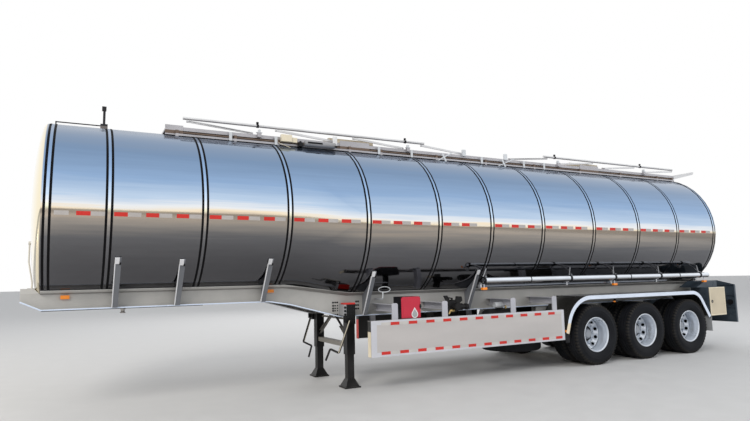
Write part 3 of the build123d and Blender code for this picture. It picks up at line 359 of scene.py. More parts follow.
def tapeTree():
    tree, given = openTree("tape", length="Float", height="Float", thickness="Float")
    size = xyzNode(tree, given["length"], given["height"], given["thickness"])
    return setOnPoints(tree, given, addNode(tree, "GeometryNodeMeshCube", {"Size": size}).outputs["Mesh"])


trees = {"bead": beadTree("bead"), "wire": beadTree("wire", bend="Float", steps="Int"), "turn": turnTree(),
         "row": rowTree(), "bolt": boltTree(), "tape": tapeTree()}


# seed: (points, faces), or points with edges for lines; sizes are the tree's named inputs
def grown(name, seed, kind, sizes, material, body="chassis", facings=None, edges=(),
          smoothAngle=35, weld=0.0):
    seedMesh = bpy.data.meshes.new(name + "Seed")
    points, faces = seed
    seedMesh.from_pydata([tuple(p) for p in points], list(edges), faces)
    if facings:
        attribute = seedMesh.attributes.new("facing", "FLOAT_VECTOR", "POINT")
        attribute.data.foreach_set("vector", [value for facing in facings for value in facing])
    holder = newObject(name + "Seed", seedMesh)
    modifier = holder.modifiers.new("grow", "NODES")
    tree = trees[kind]
    modifier.node_group = tree
    sockets = {entry.name: entry.identifier for entry in tree.interface.items_tree if entry.in_out == "INPUT"}
    for label, value in {**sizes, "finish": material}.items():
        modifier[sockets[label]] = value
    graph = bpy.context.evaluated_depsgraph_get()
    mesh = bpy.data.meshes.new_from_object(holder.evaluated_get(graph), depsgraph=graph)
    bpy.data.objects.remove(holder)
    cleanMesh(mesh, weld)
    return finishPiece(newObject(name, mesh), body, 0.0, smoothAngle, ())


# a bolt or a piece of tape on each spot of (point, facing)
def grownAt(name, spots, kind, sizes, material, body="chassis"):
    facings = [facing for spot, facing in spots]
    return grown(name, ([spot for spot, facing in spots], []), kind, sizes, material, body, facings)


def wires(name, paths, radius, material, bend=0.02, sides=12, height=None, steps=5):
    edges = []
    start = 0
    for path in paths:
        edges += [(start + i, start + i + 1) for i in range(len(path) - 1)]
        start += len(path)
    sizes = {"halfWidth": radius, "height": height or radius, "bend": bend, "sides": sides, "steps": steps}
    points = [p for path in paths for p in path]
    return grown(name, (points, []), "wire", sizes, material, edges=edges)


# spots whose facing is outwards on both flanks
def flankSpots(places):
    return [(at(back, s * y, z), (0, s, 0)) for back, y, z in places for s in (1, -1)]


print("stage: node trees made")


# Materials
def newMaterial(name, colour, roughness, metallic=0.0):
    material = bpy.data.materials.new(name)
    material.use_nodes = True
    shader = material.node_tree.nodes["Principled BSDF"]
    shader.inputs["Base Color"].default_value = (*colour, 1)
    shader.inputs["Roughness"].default_value = roughness
    shader.inputs["Metallic"].default_value = metallic
    return material, material.node_tree, shader


def noiseNode(tree, coordinates, scale, detail=4, stretch=(1, 1, 1)):
    mapping = addNode(tree, "ShaderNodeMapping", {"Vector": coordinates, "Scale": stretch})
    inputs = {"Vector": mapping.outputs["Vector"], "Scale": scale, "Detail": detail}
    return addNode(tree, "ShaderNodeTexNoise", inputs).outputs["Fac"]


def rampNode(tree, value, stops):
    ramp = addNode(tree, "ShaderNodeValToRGB", {"Fac": value})
    elements = ramp.color_ramp.elements
    while len(elements) < len(stops):
        elements.new(0.5)
    for element, (position, colour) in zip(elements, sorted(stops)):
        element.position = position
        element.color = (*colour, 1)
    return ramp.outputs["Color"]


def rangeNode(tree, value, low, high, outLow, outHigh):
    limits = {"Value": value, "From Min": low, "From Max": high, "To Min": outLow, "To Max": outHigh}
    return addNode(tree, "ShaderNodeMapRange", limits).outputs["Result"]


def mixNode(tree, share, first, second):
    mix = addNode(tree, "ShaderNodeMix", data_type="RGBA")
    for label, value in (("Factor", share), ("A", first), ("B", second)):
        feed(tree, [s for s in mix.inputs if s.name == label and s.enabled][0], value)
    return [s for s in mix.outputs if s.enabled][0]


def splitNode(tree, vector):
    return addNode(tree, "ShaderNodeSeparateXYZ", {"Vector": vector}).outputs


# 1 inside a box of object coordinates, 0 outside; Y is taken without its sign
def zoneNode(tree, where, limits):
    split = splitNode(tree, where)
    share = None
    for axis, low, high in limits:
        value = split[axis] if axis != "Y" else mathNode(tree, "ABSOLUTE", split[axis], 0.0)
        for operation, edge in (("GREATER_THAN", low), ("LESS_THAN", high)):
            step = mathNode(tree, operation, value, edge)
            share = step if share is None else mathNode(tree, "MULTIPLY", share, step)
    return share


def reliefNode(tree, shader, height, strength, distance):
    relief = addNode(tree, "ShaderNodeBump", {"Strength": strength, "Distance": distance, "Height": height})
    tree.links.new(relief.outputs["Normal"], shader.inputs["Normal"])


# paint or metal with mottling, dust low down, painted shade on faces that look down, and zones in another
# colour
def wornAndShaded(name, colour, roughness, metallic=0.0, mottle=0.12, grain=220, bump=0.03, dust=0.0,
         stretch=(1, 1, 1), paintedShadeBelow=None, zones=(), shine=0.5):
    material, tree, shader = newMaterial(name, colour, roughness, metallic)
    shader.inputs["Specular IOR Level"].default_value = shine
    coordinates = addNode(tree, "ShaderNodeTexCoord")
    where = coordinates.outputs["Object"]
    cloud = noiseNode(tree, where, 3.1, 5, stretch)
    dark = tuple(c * (1 - mottle) for c in colour)
    light = tuple(min(1.0, c * (1 + mottle)) for c in colour)
    base = rampNode(tree, cloud, [(0.32, dark), (0.68, light)])
    # painted shade: faces that look down are mixed towards a darker tone
    if paintedShadeBelow:
        facing = splitNode(tree, coordinates.outputs["Normal"])["Z"]
        base = mixNode(tree, rangeNode(tree, facing, -0.15, -0.6, 0, 1), base, (*paintedShadeBelow, 1))
    for limits, tone in zones:
        base = mixNode(tree, zoneNode(tree, where, limits), base, (*tone, 1))
    if dust:
        film = rangeNode(tree, splitNode(tree, where)["Z"], 0.0, 1.5, dust, 0.0)
        speck = rangeNode(tree, cloud, 0.35, 0.65, 0.3, 1.0)
        base = mixNode(tree, mathNode(tree, "MULTIPLY", film, speck), base, (0.30, 0.28, 0.25, 1))
    tree.links.new(base, shader.inputs["Base Color"])
    gloss = rangeNode(tree, cloud, 0.3, 0.7, roughness * 0.82, min(1, roughness * 1.22))
    tree.links.new(gloss, shader.inputs["Roughness"])
    if bump:
        reliefNode(tree, shader, noiseNode(tree, where, grain, 3, stretch), bump, 0.002)
    return material


# mirror cladding with a painted reflection and painted sunlight: a bluish sky towards the crown, a warm
# horizon line at the widest place, brown-grey ground on the lower half, and cream sunlight on faces that look
# forward
def polishedSkin(name, roughness, stops, paintedSunTone):
    material, tree, shader = newMaterial(name, (0.6, 0.62, 0.65), roughness, 1.0)
    coordinates = addNode(tree, "ShaderNodeTexCoord")
    where = coordinates.outputs["Object"]
    facing = splitNode(tree, coordinates.outputs["Normal"])
    streak = noiseNode(tree, where, 2.0, 5, (0.35, 1, 9))
    total = mathNode(tree, "ADD", facing["Z"], rangeNode(tree, streak, 0.3, 0.7, -0.035, 0.035))
    base = rampNode(tree, rangeNode(tree, total, -1, 1, 0, 1), [((1 + n) / 2, colour) for n, colour in stops])
    base = mixNode(tree, rangeNode(tree, facing["X"], 0.25, 0.55, 0, 1), base, (*paintedSunTone, 1))
    tree.links.new(base, shader.inputs["Base Color"])
    gloss = rangeNode(tree, streak, 0.3, 0.7, roughness * 0.7, roughness * 1.4)
    crown = rangeNode(tree, splitNode(tree, where)["Z"], 3.46, 3.60, 0.0, 0.24)
    tree.links.new(mathNode(tree, "ADD", gloss, crown), shader.inputs["Roughness"])
    reliefNode(tree, shader, noiseNode(tree, where, 1.6, 2, (0.6, 1, 2.5)), 0.06, 0.01)
    return material


# painted reflection, by how far a face looks up or down: dark ground, brown-grey, a warm horizon line, pale
# then blue sky
paintedReflectionStops = [
    (-1.0, (0.10, 0.10, 0.11)), (-0.62, (0.13, 0.13, 0.14)), (-0.36, (0.18, 0.18, 0.19)),
    (-0.22, (0.36, 0.33, 0.30)), (-0.085, (0.60, 0.50, 0.40)), (-0.05, (0.93, 0.79, 0.58)),
    (0.0, (0.84, 0.86, 0.88)), (0.10, (0.52, 0.65, 0.82)), (0.32, (0.29, 0.43, 0.65)),
    (0.62, (0.20, 0.30, 0.46)), (1.0, (0.26, 0.31, 0.39)),
]
# the bands get the same painted reflection, brighter
brighterPaintedReflectionStops = [(n, tuple(min(1, c * 1.25) for c in tone)) for n, tone in paintedReflectionStops]
sunlitCream = (0.95, 0.86, 0.66)
tankSkin = polishedSkin("tankSkin", 0.07, paintedReflectionStops, sunlitCream)
bandSteel = polishedSkin("bandSteel", 0.14, brighterPaintedReflectionStops, sunlitCream)

# zones are ((axis, low, high), ...) with a tone, in metres
padZone = (("X", place(4.162), place(4.03)), ("Z", 1.062, 1.2235), ("Y", 0.5, 0.7325))
paintedSunFootZone = (("X", place(8.30), 9), ("Z", 0, 0.76))
guardPaintedShadeZone = (("Y", 0, 1.2437), ("Z", 0.495, 0.994))
sideZone = (("Z", 3.653, 3.702), ("Y", 0.0, 0.4615))
recessPaintedShadeZone = (("X", place(13.019), place(12.97)), ("Z", 0.86, 1.02), ("Y", 0.7, 1.22))
lampStemZone = (("Y", 1.0, 1.25), ("Z", 1.418, 2.0))
ventFootZone = (("Z", 3.69, 3.762), ("X", 5.6, 5.9))
beadBlack = wornAndShaded("beadBlack", (0.005, 0.005, 0.006), 0.7, bump=0.05, shine=0.1)
# rails: the band at the top under the tank is lightened as a painted highlight, and faces that look down get
# painted shade
railPaint = wornAndShaded("railPaint", (0.43, 0.42, 0.40), 0.38, mottle=0.08, dust=0.2, paintedShadeBelow=(0.24, 0.23, 0.22),
                 zones=[((("Z", 1.505, 1.57),), (0.50, 0.49, 0.47))])
# a bluish white for the painted highlight along the rails' lower edge
railEdgeHighlight = wornAndShaded("railEdgeHighlight", (0.66, 0.74, 0.88), 0.3, 0.2, mottle=0.05, bump=0.0)
# gussets: webs and flanges painted dark as shade, their front strips and pads painted bright as sunlight
gussetPaintedShade = wornAndShaded("gussetPaintedShade", (0.165, 0.172, 0.190), 0.34, mottle=0.08)
gussetPaintedSunlight = wornAndShaded("gussetPaintedSunlight", (0.78, 0.78, 0.80), 0.3, 0.1, mottle=0.06)
bracePaint = wornAndShaded("bracePaint", (0.20, 0.19, 0.175), 0.5, mottle=0.2, dust=0.2)
blackPaint = wornAndShaded("blackPaint", (0.009, 0.009, 0.010), 0.40, mottle=0.25, dust=0.08, shine=0.2)
legPaint = wornAndShaded("legPaint", (0.008, 0.008, 0.009), 0.34, mottle=0.25, dust=0.06, shine=0.2,
                zones=[(padZone, (0.34, 0.34, 0.35))])
# cream for the painted highlight along the crank rods
crankPaintedHighlight = wornAndShaded("crankPaintedHighlight", (0.62, 0.56, 0.44), 0.3, mottle=0.1)
bareSteel = wornAndShaded("bareSteel", (0.40, 0.38, 0.36), 0.32, 1.0)
brightMetal = wornAndShaded("brightMetal", (0.80, 0.83, 0.88), 0.16, 1.0, mottle=0.06, grain=90, bump=0.01)
# fender sheet: painted shade, near black under the top and on faces that look down
fenderMetal = wornAndShaded("fenderMetal", (0.34, 0.35, 0.37), 0.30, 0.6, mottle=0.1, grain=60,
                   paintedShadeBelow=(0.03, 0.028, 0.027), zones=[((("Z", 0, 1.206),), (0.05, 0.048, 0.045))])
# fender band: its lower end is painted cream as sunlight
edgeMetal = wornAndShaded("edgeMetal", (0.76, 0.83, 0.95), 0.22, 0.25, mottle=0.04, bump=0.0,
                 zones=[(paintedSunFootZone, (0.86, 0.74, 0.56))])
# side tubes: the conduit under them is painted dark as a reflection, and faces that look down get painted
# shade
chromeTube = wornAndShaded("chromeTube", (0.80, 0.85, 0.92), 0.06, 1.0, mottle=0.04, bump=0.0,
                  paintedShadeBelow=(0.30, 0.28, 0.27), zones=[((("Z", 1.35, 1.475),), (0.25, 0.27, 0.31))])
# struts: faces that look down get painted shade
strutMetal = wornAndShaded("strutMetal", (0.60, 0.61, 0.64), 0.24, 0.7, paintedShadeBelow=(0.10, 0.10, 0.10))
# guard panels: the inner faces and returns are painted near black as shade
panelMetal = wornAndShaded("panelMetal", (0.55, 0.52, 0.505), 0.34, 0.3, mottle=0.07, grain=160, stretch=(0.2, 1, 1),
                  bump=0.02, dust=0.06, zones=[(guardPaintedShadeZone, (0.022, 0.021, 0.020))])
borderMetal = wornAndShaded("borderMetal", (0.60, 0.60, 0.64), 0.34, 0.3, mottle=0.05, grain=160)
postPaint = wornAndShaded("postPaint", (0.46, 0.46, 0.50), 0.36, mottle=0.08, dust=0.1)
# walkway deck: faces that look down get painted shade
deckMetal = wornAndShaded("deckMetal", (0.45, 0.44, 0.46), 0.40, 0.5, mottle=0.14, grain=300, paintedShadeBelow=(0.16, 0.11, 0.08),
                 zones=[(sideZone, (0.16, 0.115, 0.09))])
# handrail and ladder: faces that look down get painted shade
railMetal = wornAndShaded("railMetal", (0.66, 0.66, 0.67), 0.34, 0.6, mottle=0.12, grain=300, paintedShadeBelow=(0.34, 0.33, 0.34))
flapGrey = wornAndShaded("flapGrey", (0.36, 0.37, 0.38), 0.6, mottle=0.12)
tyreRubber = wornAndShaded("tyreRubber", (0.008, 0.009, 0.012), 0.62, mottle=0.3, grain=420, bump=0.12, dust=0.03,
                  shine=0.12)
lugRubber = wornAndShaded("lugRubber", (0.026, 0.0245, 0.023), 0.75, mottle=0.4, grain=420, bump=0.12, shine=0.1)
wheelSilver = wornAndShaded("wheelSilver", (0.70, 0.745, 0.81), 0.30, 0.6, mottle=0.03, bump=0.0)
hubBlack = wornAndShaded("hubBlack", (0.016, 0.016, 0.018), 0.4, mottle=0.2, shine=0.3,
                zones=[((("Y", 0.999, 1.05),), (0.36, 0.38, 0.41))])
creamPaint = wornAndShaded("creamPaint", (0.56, 0.48, 0.35), 0.36, mottle=0.06)
creamEdge = wornAndShaded("creamEdge", (0.74, 0.66, 0.50), 0.32, mottle=0.05)
# tail: a recess is painted near black as shade
tailPaint = wornAndShaded("tailPaint", (0.050, 0.068, 0.088), 0.3, mottle=0.2, dust=0.05, shine=0.4,
                 zones=[(recessPaintedShadeZone, (0.008, 0.008, 0.01))])
redPlastic = wornAndShaded("redPlastic", (0.52, 0.018, 0.045), 0.34, mottle=0.06, bump=0.02)
blackPlastic = wornAndShaded("blackPlastic", (0.008, 0.008, 0.010), 0.42, shine=0.25)
windowGrey = wornAndShaded("windowGrey", (0.36, 0.37, 0.37), 0.2)
windowWhite = wornAndShaded("windowWhite", (0.78, 0.78, 0.78), 0.3)
tapeRed = wornAndShaded("tapeRed", (0.58, 0.022, 0.014), 0.35, mottle=0.08, bump=0.02)
tapePale = wornAndShaded("tapePale", (0.44, 0.41, 0.39), 0.35, mottle=0.06, bump=0.02)
tapeCream = wornAndShaded("tapeCream", (0.53, 0.505, 0.48), 0.35, mottle=0.10, bump=0.02)
lampAmber = wornAndShaded("lampAmber", (0.92, 0.27, 0.02), 0.18, mottle=0.1, grain=500, bump=0.1,
                 zones=[(lampStemZone, (0.55, 0.56, 0.62))])
lampRed = wornAndShaded("lampRed", (0.10, 0.008, 0.010), 0.16, mottle=0.12, grain=500, bump=0.1)
brass = wornAndShaded("brass", (0.70, 0.50, 0.20), 0.28, 1.0, mottle=0.15)
pipeGrey = wornAndShaded("pipeGrey", (0.30, 0.30, 0.31), 0.35, 0.2, mottle=0.08)
paleGrey = wornAndShaded("paleGrey", (0.62, 0.64, 0.66), 0.35, 0.2, mottle=0.08)
ventFinish = wornAndShaded("ventFinish", (0.016, 0.016, 0.018), 0.4, shine=0.3,
                  zones=[((("Z", 0, 3.0),), (0.62, 0.60, 0.56)), (ventFootZone, (0.16, 0.14, 0.13))])
print("stage: materials made")

# CAD nodes that keep their shape get a finish and softened edges; each name stands for the nodes it begins
nodeFinish = (
    (railPaint, ("chassis_rails", "cross_members", "spring_hangers")),
    (blackPaint, ("coupler_plate", "axles", "leaf_springs", "torque_rods", "air_reservoirs",
                  "discharge_pipe")),
    (bareSteel, ("kingpin",)), (legPaint, ("landing_legs",)), (bracePaint, ("landing_brace",)),
    (flapGrey, ("mud_flaps",)), (postPaint, ("guard_posts",)), (chromeTube, ("side_tubes",)),
    (deckMetal, ("walkway",)), (railMetal, ("handrail", "rear_ladder")), (creamPaint, ("manhole_boxes",)),
    (brightMetal, ("manhole_lid",)), (blackPlastic, ("extinguisher_box",)),
    (tailPaint, ("rear_cabinets", "tail_plate")), (lampRed, ("tail_lamps",)), (lampAmber, ("marker_lamps",)),
    (ventFinish, ("vent_riser",)), (tyreRubber, ("spare_tyre",)), (wheelSilver, ("spare_wheel",)),
)
nodeEdge = {"width": 0.003, "degrees": 40, "merge": 0.00002}
for material, names in nodeFinish:
    for nodeName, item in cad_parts.items():
        if nodeName.startswith(names):
            item.data.materials.clear()
            item.data.materials.append(material)
            item.modifiers.new("merge", "WELD").merge_threshold = nodeEdge["merge"]
            soften(item, nodeEdge["width"], nodeEdge["degrees"])
print("stage: CAD nodes finished")

# Tank: an oval of four arcs that grows deeper behind a step, between two domed heads
tank = {
    "halfWidth": 1.245, "top": 3.697, "frontHalfHeight": 1.163, "rearHalfHeight": 1.235, "sideShare": 0.9,
    "front": 0.205, "rear": 12.52, "stepStart": 3.23, "stepEnd": 4.24, "frontDome": 0.148, "rearDome": 0.185,
    "domeTip": 0.02, "sideSteps": 14, "crownSteps": 20, "rings": 62, "domeSteps": 14,
}


# side radius, crown radius, the angle where they meet, and the side's centre in Y
def ovalArcs(high):
    wide = tank["halfWidth"]
    side = tank["sideShare"] * high
    crown = (wide**2 - 2 * wide * side + high**2) / (2 * (high - side))
    return side, crown, math.atan2(crown - high, wide - side), wide - side


def ovalPoints(high, grow):
    side, crown, meet, shift = ovalArcs(high)
    points = []
    for i in range(tank["sideSteps"]):
        a = -meet + 2 * meet * i / tank["sideSteps"]
        points.append((shift + (side + grow) * math.cos(a), (side + grow) * math.sin(a)))
    for i in range(tank["crownSteps"]):
        a = meet + (math.pi - 2 * meet) * i / tank["crownSteps"]
        points.append(((crown + grow) * math.cos(a), high - crown + (crown + grow) * math.sin(a)))
    return points + [(-y, -z) for y, z in points]


def halfHeightAt(back):
    t = (back - tank["stepStart"]) / (tank["stepEnd"] - tank["stepStart"])
    t = max(0.0, min(1.0, t))
    t = t * t * (3 - 2 * t)
    return tank["frontHalfHeight"] + t * (tank["rearHalfHeight"] - tank["frontHalfHeight"])


def ringAt(back, scale=1.0, grow=0.0, sectionBack=None):
    high = halfHeightAt(back if sectionBack is None else sectionBack)
    return [at(back, y * scale, tank["top"] - high + z * scale) for y, z in ovalPoints(high, grow)]


# point on the flank at a height, with the flank's outward direction
def flankAt(back, z, out, side=1):
    high = halfHeightAt(back)
    radius, crown, meet, shift = ovalArcs(high)
    a = math.asin((z - tank["top"] + high) / radius)
    return at(back, side * (shift + (radius + out) * math.cos(a)), z), (0, side * math.cos(a), math.sin(a))


# height of the tank's underside or top at a distance from the middle
def shellAt(back, y, upper=False):
    high = halfHeightAt(back)
    side, crown, meet, shift = ovalArcs(high)
    if y > shift + side * math.cos(meet):
        rise = math.sqrt(side**2 - (y - shift) ** 2)
    else:
        rise = high - crown + math.sqrt(crown**2 - y**2)
    return tank["top"] - high + (rise if upper else -rise)


def domeLoops(end, depth):
    steps = [math.sin(math.pi / 2 * (i + 1) / tank["domeSteps"]) for i in range(tank["domeSteps"])]
    scales = [max(tank["domeTip"], math.sqrt(1 - s * s)) for s in steps]
    return [ringAt(end + s * depth, scale, sectionBack=end) for s, scale in zip(steps, scales)]


def tankLoops():
    front, rear = tank["front"], tank["rear"]
    barrelLoops = [ringAt(front + (rear - front) * i / tank["rings"]) for i in range(tank["rings"] + 1)]
    return domeLoops(front, -tank["frontDome"])[::-1] + barrelLoops + domeLoops(rear, tank["rearDome"])


addPiece("tankShell", rings(tankLoops()), tankSkin, smoothAngle=60, replaces=["tank_shell"])

# Bands: a strap with a black sealed bead along each edge
bands = {
    "places": (0.26, 0.896, 1.996, 3.118, 4.309, 5.547, 6.561, 7.672, 8.905, 10.108, 11.275, 12.463),
    "spread": 0.029, "seat": 0.0003, "strapStand": 0.002, "beadHalfWidth": 0.0150, "beadHeight": 0.0041,
}
straps = []
beadPoints = []
beadEdges = []
seat, stand = bands["seat"], bands["strapStand"]
for bandPlace in bands["places"]:
    section = tank["front"] if bandPlace < tank["stepStart"] else tank["rear"]
    ends = (bandPlace - bands["spread"], bandPlace + bands["spread"])
    corners = ((ends[0], seat), (ends[0], stand), (ends[1], stand), (ends[1], seat))
    straps.append(rings([ringAt(b, grow=g, sectionBack=section) for b, g in corners], "open"))
    for end in ends:
        loop = ringAt(end, sectionBack=section)
        start = len(beadPoints)
        beadPoints += loop
        beadEdges += [(start + i, start + (i + 1) % len(loop)) for i in range(len(loop))]
addPiece("bandStraps", joined(*straps), bandSteel, smoothAngle=60, replaces=["tank_bands"],
         clean=False)
beadSizes = {"halfWidth": bands["beadHalfWidth"], "height": bands["beadHeight"], "sides": 12}
grown("bandBeads", (beadPoints, []), "bead", beadSizes, beadBlack, edges=beadEdges,
      smoothAngle=60)
print("stage: tank and bands made")

# Gussets beside the rails: a web under the tank and a flange, painted dark as shade, with a front lip and a
# pad painted bright as sunlight, and a bolt
gusset = {
    "places": ((1.020, 1.050, 1.312), (1.765, 1.035, 1.312), (2.915, 1.035, 1.312), (4.510, 0.985, 1.052),
               (6.450, 0.985, 1.052)),
    "foot": 0.640, "inner": 0.566, "gap": 0.004, "web": 0.004, "flangeHalf": 0.036, "flange": 0.010,
    "steps": 8,
    "lip": 0.011, "lipProud": 0.001, "lipDepths": (0.006, 0.015), "padLength": 0.085, "padRise": 0.022,
    "padRear": 0.016, "boltAlong": (0.012, 0.016), "boltRise": 0.026, "boltBacks": (0.014, 0.034),
}


# corners of a strip of (y, height) along a line, from one distance inside it to another outside
def strip(start, end, inwards, outwards):
    along = (end - start).normalized()
    out = Vector((along.y, -along.x))
    return [start - out * inwards, end - out * inwards, end + out * outwards, start + out * outwards]


webs = []
sunlitStrips = []
padBolts = []
for back, tip, foot in gusset["places"]:
    depths = [tip + (gusset["inner"] - tip) * k / gusset["steps"] for k in range(gusset["steps"] + 1)]
    underside = [(y, shellAt(back, y) - gusset["gap"]) for y in depths]
    low = Vector((gusset["foot"], foot))
    high = Vector(underside[0])
    along = (high - low).normalized()
    pad = high - along * gusset["padLength"]
    front, rear = back - gusset["flangeHalf"], back + gusset["flangeHalf"]
    boltLow, boltHigh = (pad + along * shift for shift in (-gusset["boltAlong"][0], gusset["boltAlong"][1]))
    web = [low, *underside, (gusset["inner"], foot)]
    webs += [crossPrism(web, back - gusset["web"], back + gusset["web"]),
             crossPrism(strip(low, high, 0, gusset["flange"]), front, rear)]
    lip = strip(low, pad, *gusset["lipDepths"])
    sunlitStrips += [crossPrism(lip, front - gusset["lipProud"], front + gusset["lip"]),
             crossPrism(strip(pad, high, 0, gusset["padRise"]), front, back + gusset["padRear"])]
    padBolts.append(crossPrism(strip(boltLow, boltHigh, 0, gusset["boltRise"]),
                               *(back + shift for shift in gusset["boltBacks"])))
addPiece("gussetWebs", bothSides(joined(*webs)), gussetPaintedShade, replaces=["tank_saddles"])
addPiece("gussetSunlitStrips", bothSides(joined(*sunlitStrips)), gussetPaintedSunlight, bevel=0.002)
addPiece("gussetBolts", bothSides(joined(*padBolts)), blackPaint, bevel=0.002)

# A thin bluish-white wire along the lower edge of each rail, a painted highlight, along its outline from the
# nose to the tail
railEdge = {
    "outline": ((0.004, 1.411), (0.222, 1.306), (3.011, 1.306), (3.321, 1.253), (4.091, 1.046),
                (12.980, 1.046)),
    "y": 0.6215, "depth": 0.003, "height": 0.009,
}
wires("railEdgeHighlights", [[at(back, s * railEdge["y"], z) for back, z in railEdge["outline"]] for s in (1, -1)],
      railEdge["depth"], railEdgeHighlight, bend=0.0, sides=8, height=railEdge["height"])
print("stage: gussets and rail edges made")

# Reflecting tape on the tank's flanks: a red and a pale piece in turn, three pairs between two bands
tankTape = {
    "height": 2.415, "width": 0.050, "length": 0.150, "seam": 0.002, "thickness": 0.0012, "stand": 0.0005,
    "fromBand": 0.052, "pitch": 0.351, "pairRoom": 0.35, "bandRoom": 0.05, "firstPale": (0.405, 0.778),
    "firstRed": (0.628,),
}
redPlaces = list(tankTape["firstRed"])
palePlaces = list(tankTape["firstPale"])
for before, after in zip(bands["places"][1:], bands["places"][2:]):
    for k in range(int((after - before - tankTape["bandRoom"]) / tankTape["pairRoom"])):
        start = before + tankTape["fromBand"] + k * tankTape["pitch"]
        redPlaces.append(start + tankTape["length"] / 2)
        palePlaces.append(start + tankTape["length"] * 1.5)
tapeSizes = {"length": tankTape["length"] - tankTape["seam"], "height": tankTape["width"],
             "thickness": tankTape["thickness"]}
tankTapes = (("tankTapeRed", redPlaces, tapeRed), ("tankTapePale", palePlaces, tapePale))
for tapeName, places, material in tankTapes:
    spots = [flankAt(back, tankTape["height"], tankTape["stand"], s) for back in places for s in (1, -1)]
    grownAt(tapeName, spots, "tape", tapeSizes, material)
print("stage: tank tape made")

# Tyres with ribs, and shoulder lugs; a profile is (radius, half width)
tyre = {
    "radius": 0.527, "width": 0.285, "base": 0.514, "lugs": 54, "lugHalf": 0.0165, "lugTaper": 0.92,
    "taperFrom": 0.52, "sink": 0.0004, "centres": (1.1075, 0.7725), "axles": (8.817, 10.127, 11.437),
    "ribEdges": (-0.079, -0.033, -0.024, 0.024, 0.033, 0.079), "ribChamfer": 0.0015,
    "bead": ((0.2866, 0.1045), (0.3000, 0.1052), (0.3120, 0.1120), (0.3400, 0.1290), (0.3480, 0.1302),
             (0.3520, 0.1335), (0.3900, 0.1402)),
    "shoulder": ((0.4650, 0.1380), (0.4860, 0.1320), (0.5000, 0.1270)),
    "wall": ((0.4270, 0), (0.4310, 0.0025)), "treadHalf": 0.1150, "lugRoot": 0.004, "lugInner": 0.0865,
    "lugEdge": (0.003, 0.1225),
    "lugFoot": ((0.5080, 0.1325), (0.4850, 0.1352), (0.4850, 0.1200)),
}


def tyreProfile(centre):
    base, radius, half, chamfer = tyre["base"], tyre["radius"], tyre["width"] / 2, tyre["ribChamfer"]
    wall = [(r, half - inset) for r, inset in tyre["wall"]]
    side = [*tyre["bead"], *wall, *tyre["shoulder"], (base, tyre["treadHalf"])]
    edges = tyre["ribEdges"]
    tread = []
    for low, high in zip(edges[::2], edges[1::2]):
        tread += [(base, low), (radius, low + chamfer), (radius, high - chamfer), (base, high)]
    left = [(r, centre - w) for r, w in side]
    right = [(r, centre + w) for r, w in reversed(side)]
    return left + [(r, centre + w) for r, w in tread] + right


# one shoulder lug at the top of the wheel, measured from the wheel's centre
def lugShape(centre, side, turn):
    top = tyre["radius"] - tyre["sink"]
    inner = tyre["lugInner"]
    fall, edge = tyre["lugEdge"]
    outline = [(tyre["base"] - tyre["lugRoot"], inner), (top, inner), (top - fall, edge), *tyre["lugFoot"]]
    loops = []
    for s in (-1, 1):
        loop = []
        for r, w in outline:
            t = s * tyre["lugHalf"] * (tyre["lugTaper"] if r > tyre["taperFrom"] else 1.0)
            loop.append((t * math.cos(turn) + r * math.sin(turn), centre + side * w,
                         r * math.cos(turn) - t * math.sin(turn)))
        loops.append(loop)
    return rings(loops)


lugTurn = math.pi / tyre["lugs"]
lugSeed = joined(*[lugShape(centre, s, lugTurn * (s > 0)) for centre in tyre["centres"] for s in (-1, 1)])
flips = (("left", lambda shape: shape), ("right", mirrored))
for number, back in enumerate(tyre["axles"], 1):
    x, y, z = at(back, 0, tyre["radius"])
    pair = joined(*[turned(tyreProfile(centre), x, z) for centre in tyre["centres"]])
    sizes = {"count": tyre["lugs"], "centre": (x, 0, z), "start": 0.0}
    for side, flip in flips:
        body = f"wheel_{side}_{number}"
        addPiece(f"tyrePair_{side}_{number}", flip(pair), tyreRubber, body,
                 replaces=[f"tyres_{side}_{number}"])
        grown(f"tyreLugs_{side}_{number}", flip(lugSeed), "turn", sizes, lugRubber, body)
print("stage: tyres made")

# Wheels: rims, dished discs with hand holes, hubs, drums and nuts; profiles are (radius, along)
wheel = {
    "discPlane": 0.94, "holes": 10, "holeRadius": 0.030, "holeFlat": 0.78, "holeSteps": 16,
    "nutCircle": 0.1675, "hubEnd": 1.045,
    "discInner": (0.196, 0.012), "discOuter": (0.272, 0.080), "discWall": 0.009,
    "rimLip": ((0.300, 0.105), (0.3045, 0.1085), (0.3050, 0.1140), (0.3010, 0.1170), (0.2920, 0.1170),
               (0.2820, 0.1080), (0.2790, 0.0980), (0.2740, 0.0700), (0.2640, 0.0450), (0.2610, 0.0300)),
    "rimSeat": ((0.2862, 0.098), (0.2862, 0.060), (0.2700, 0.040), (0.2690, 0.0)),
    "flat": ((0.141, 0), (0.198, 0.006), (0.198, 0.014), (0.141, 0.012)),
    "hubFace": ((0.139, 0.034), (0.118, 0.040), (0.104, 0.052), (0.092, 0.058), (0.080, 0.064)),
    "hubBack": ((0.0405, 0.64), (0.08, 0.64), (0.08, 0.88), (0.139, 0.90)),
    "hubTip": ((0.078, -0.022), (0.070, -0.008), (0.050, -0.002), (0.004, 0)),
    "hubBore": ((0.004, 1.012), (0.0405, 1.012)),
    "drum": ((0.187, 0.66), (0.205, 0.66), (0.205, 0.70), (0.199, 0.705), (0.199, 0.86), (0.205, 0.865),
             (0.205, 0.898), (0.12, 0.898), (0.12, 0.882), (0.187, 0.882)),
    "nutBase": 0.012,
    "washer": ((0.002, 0), (0.021, 0), (0.020, 0.006), (0.002, 0.006)),
    "nut": ((0.002, 0.005), (0.0175, 0.005), (0.0175, 0.026), (0.0150, 0.029), (0.002, 0.029)),
    "stud": ((0.001, 0.02), (0.0105, 0.02), (0.0105, 0.040), (0.009, 0.042), (0.001, 0.042)),
}


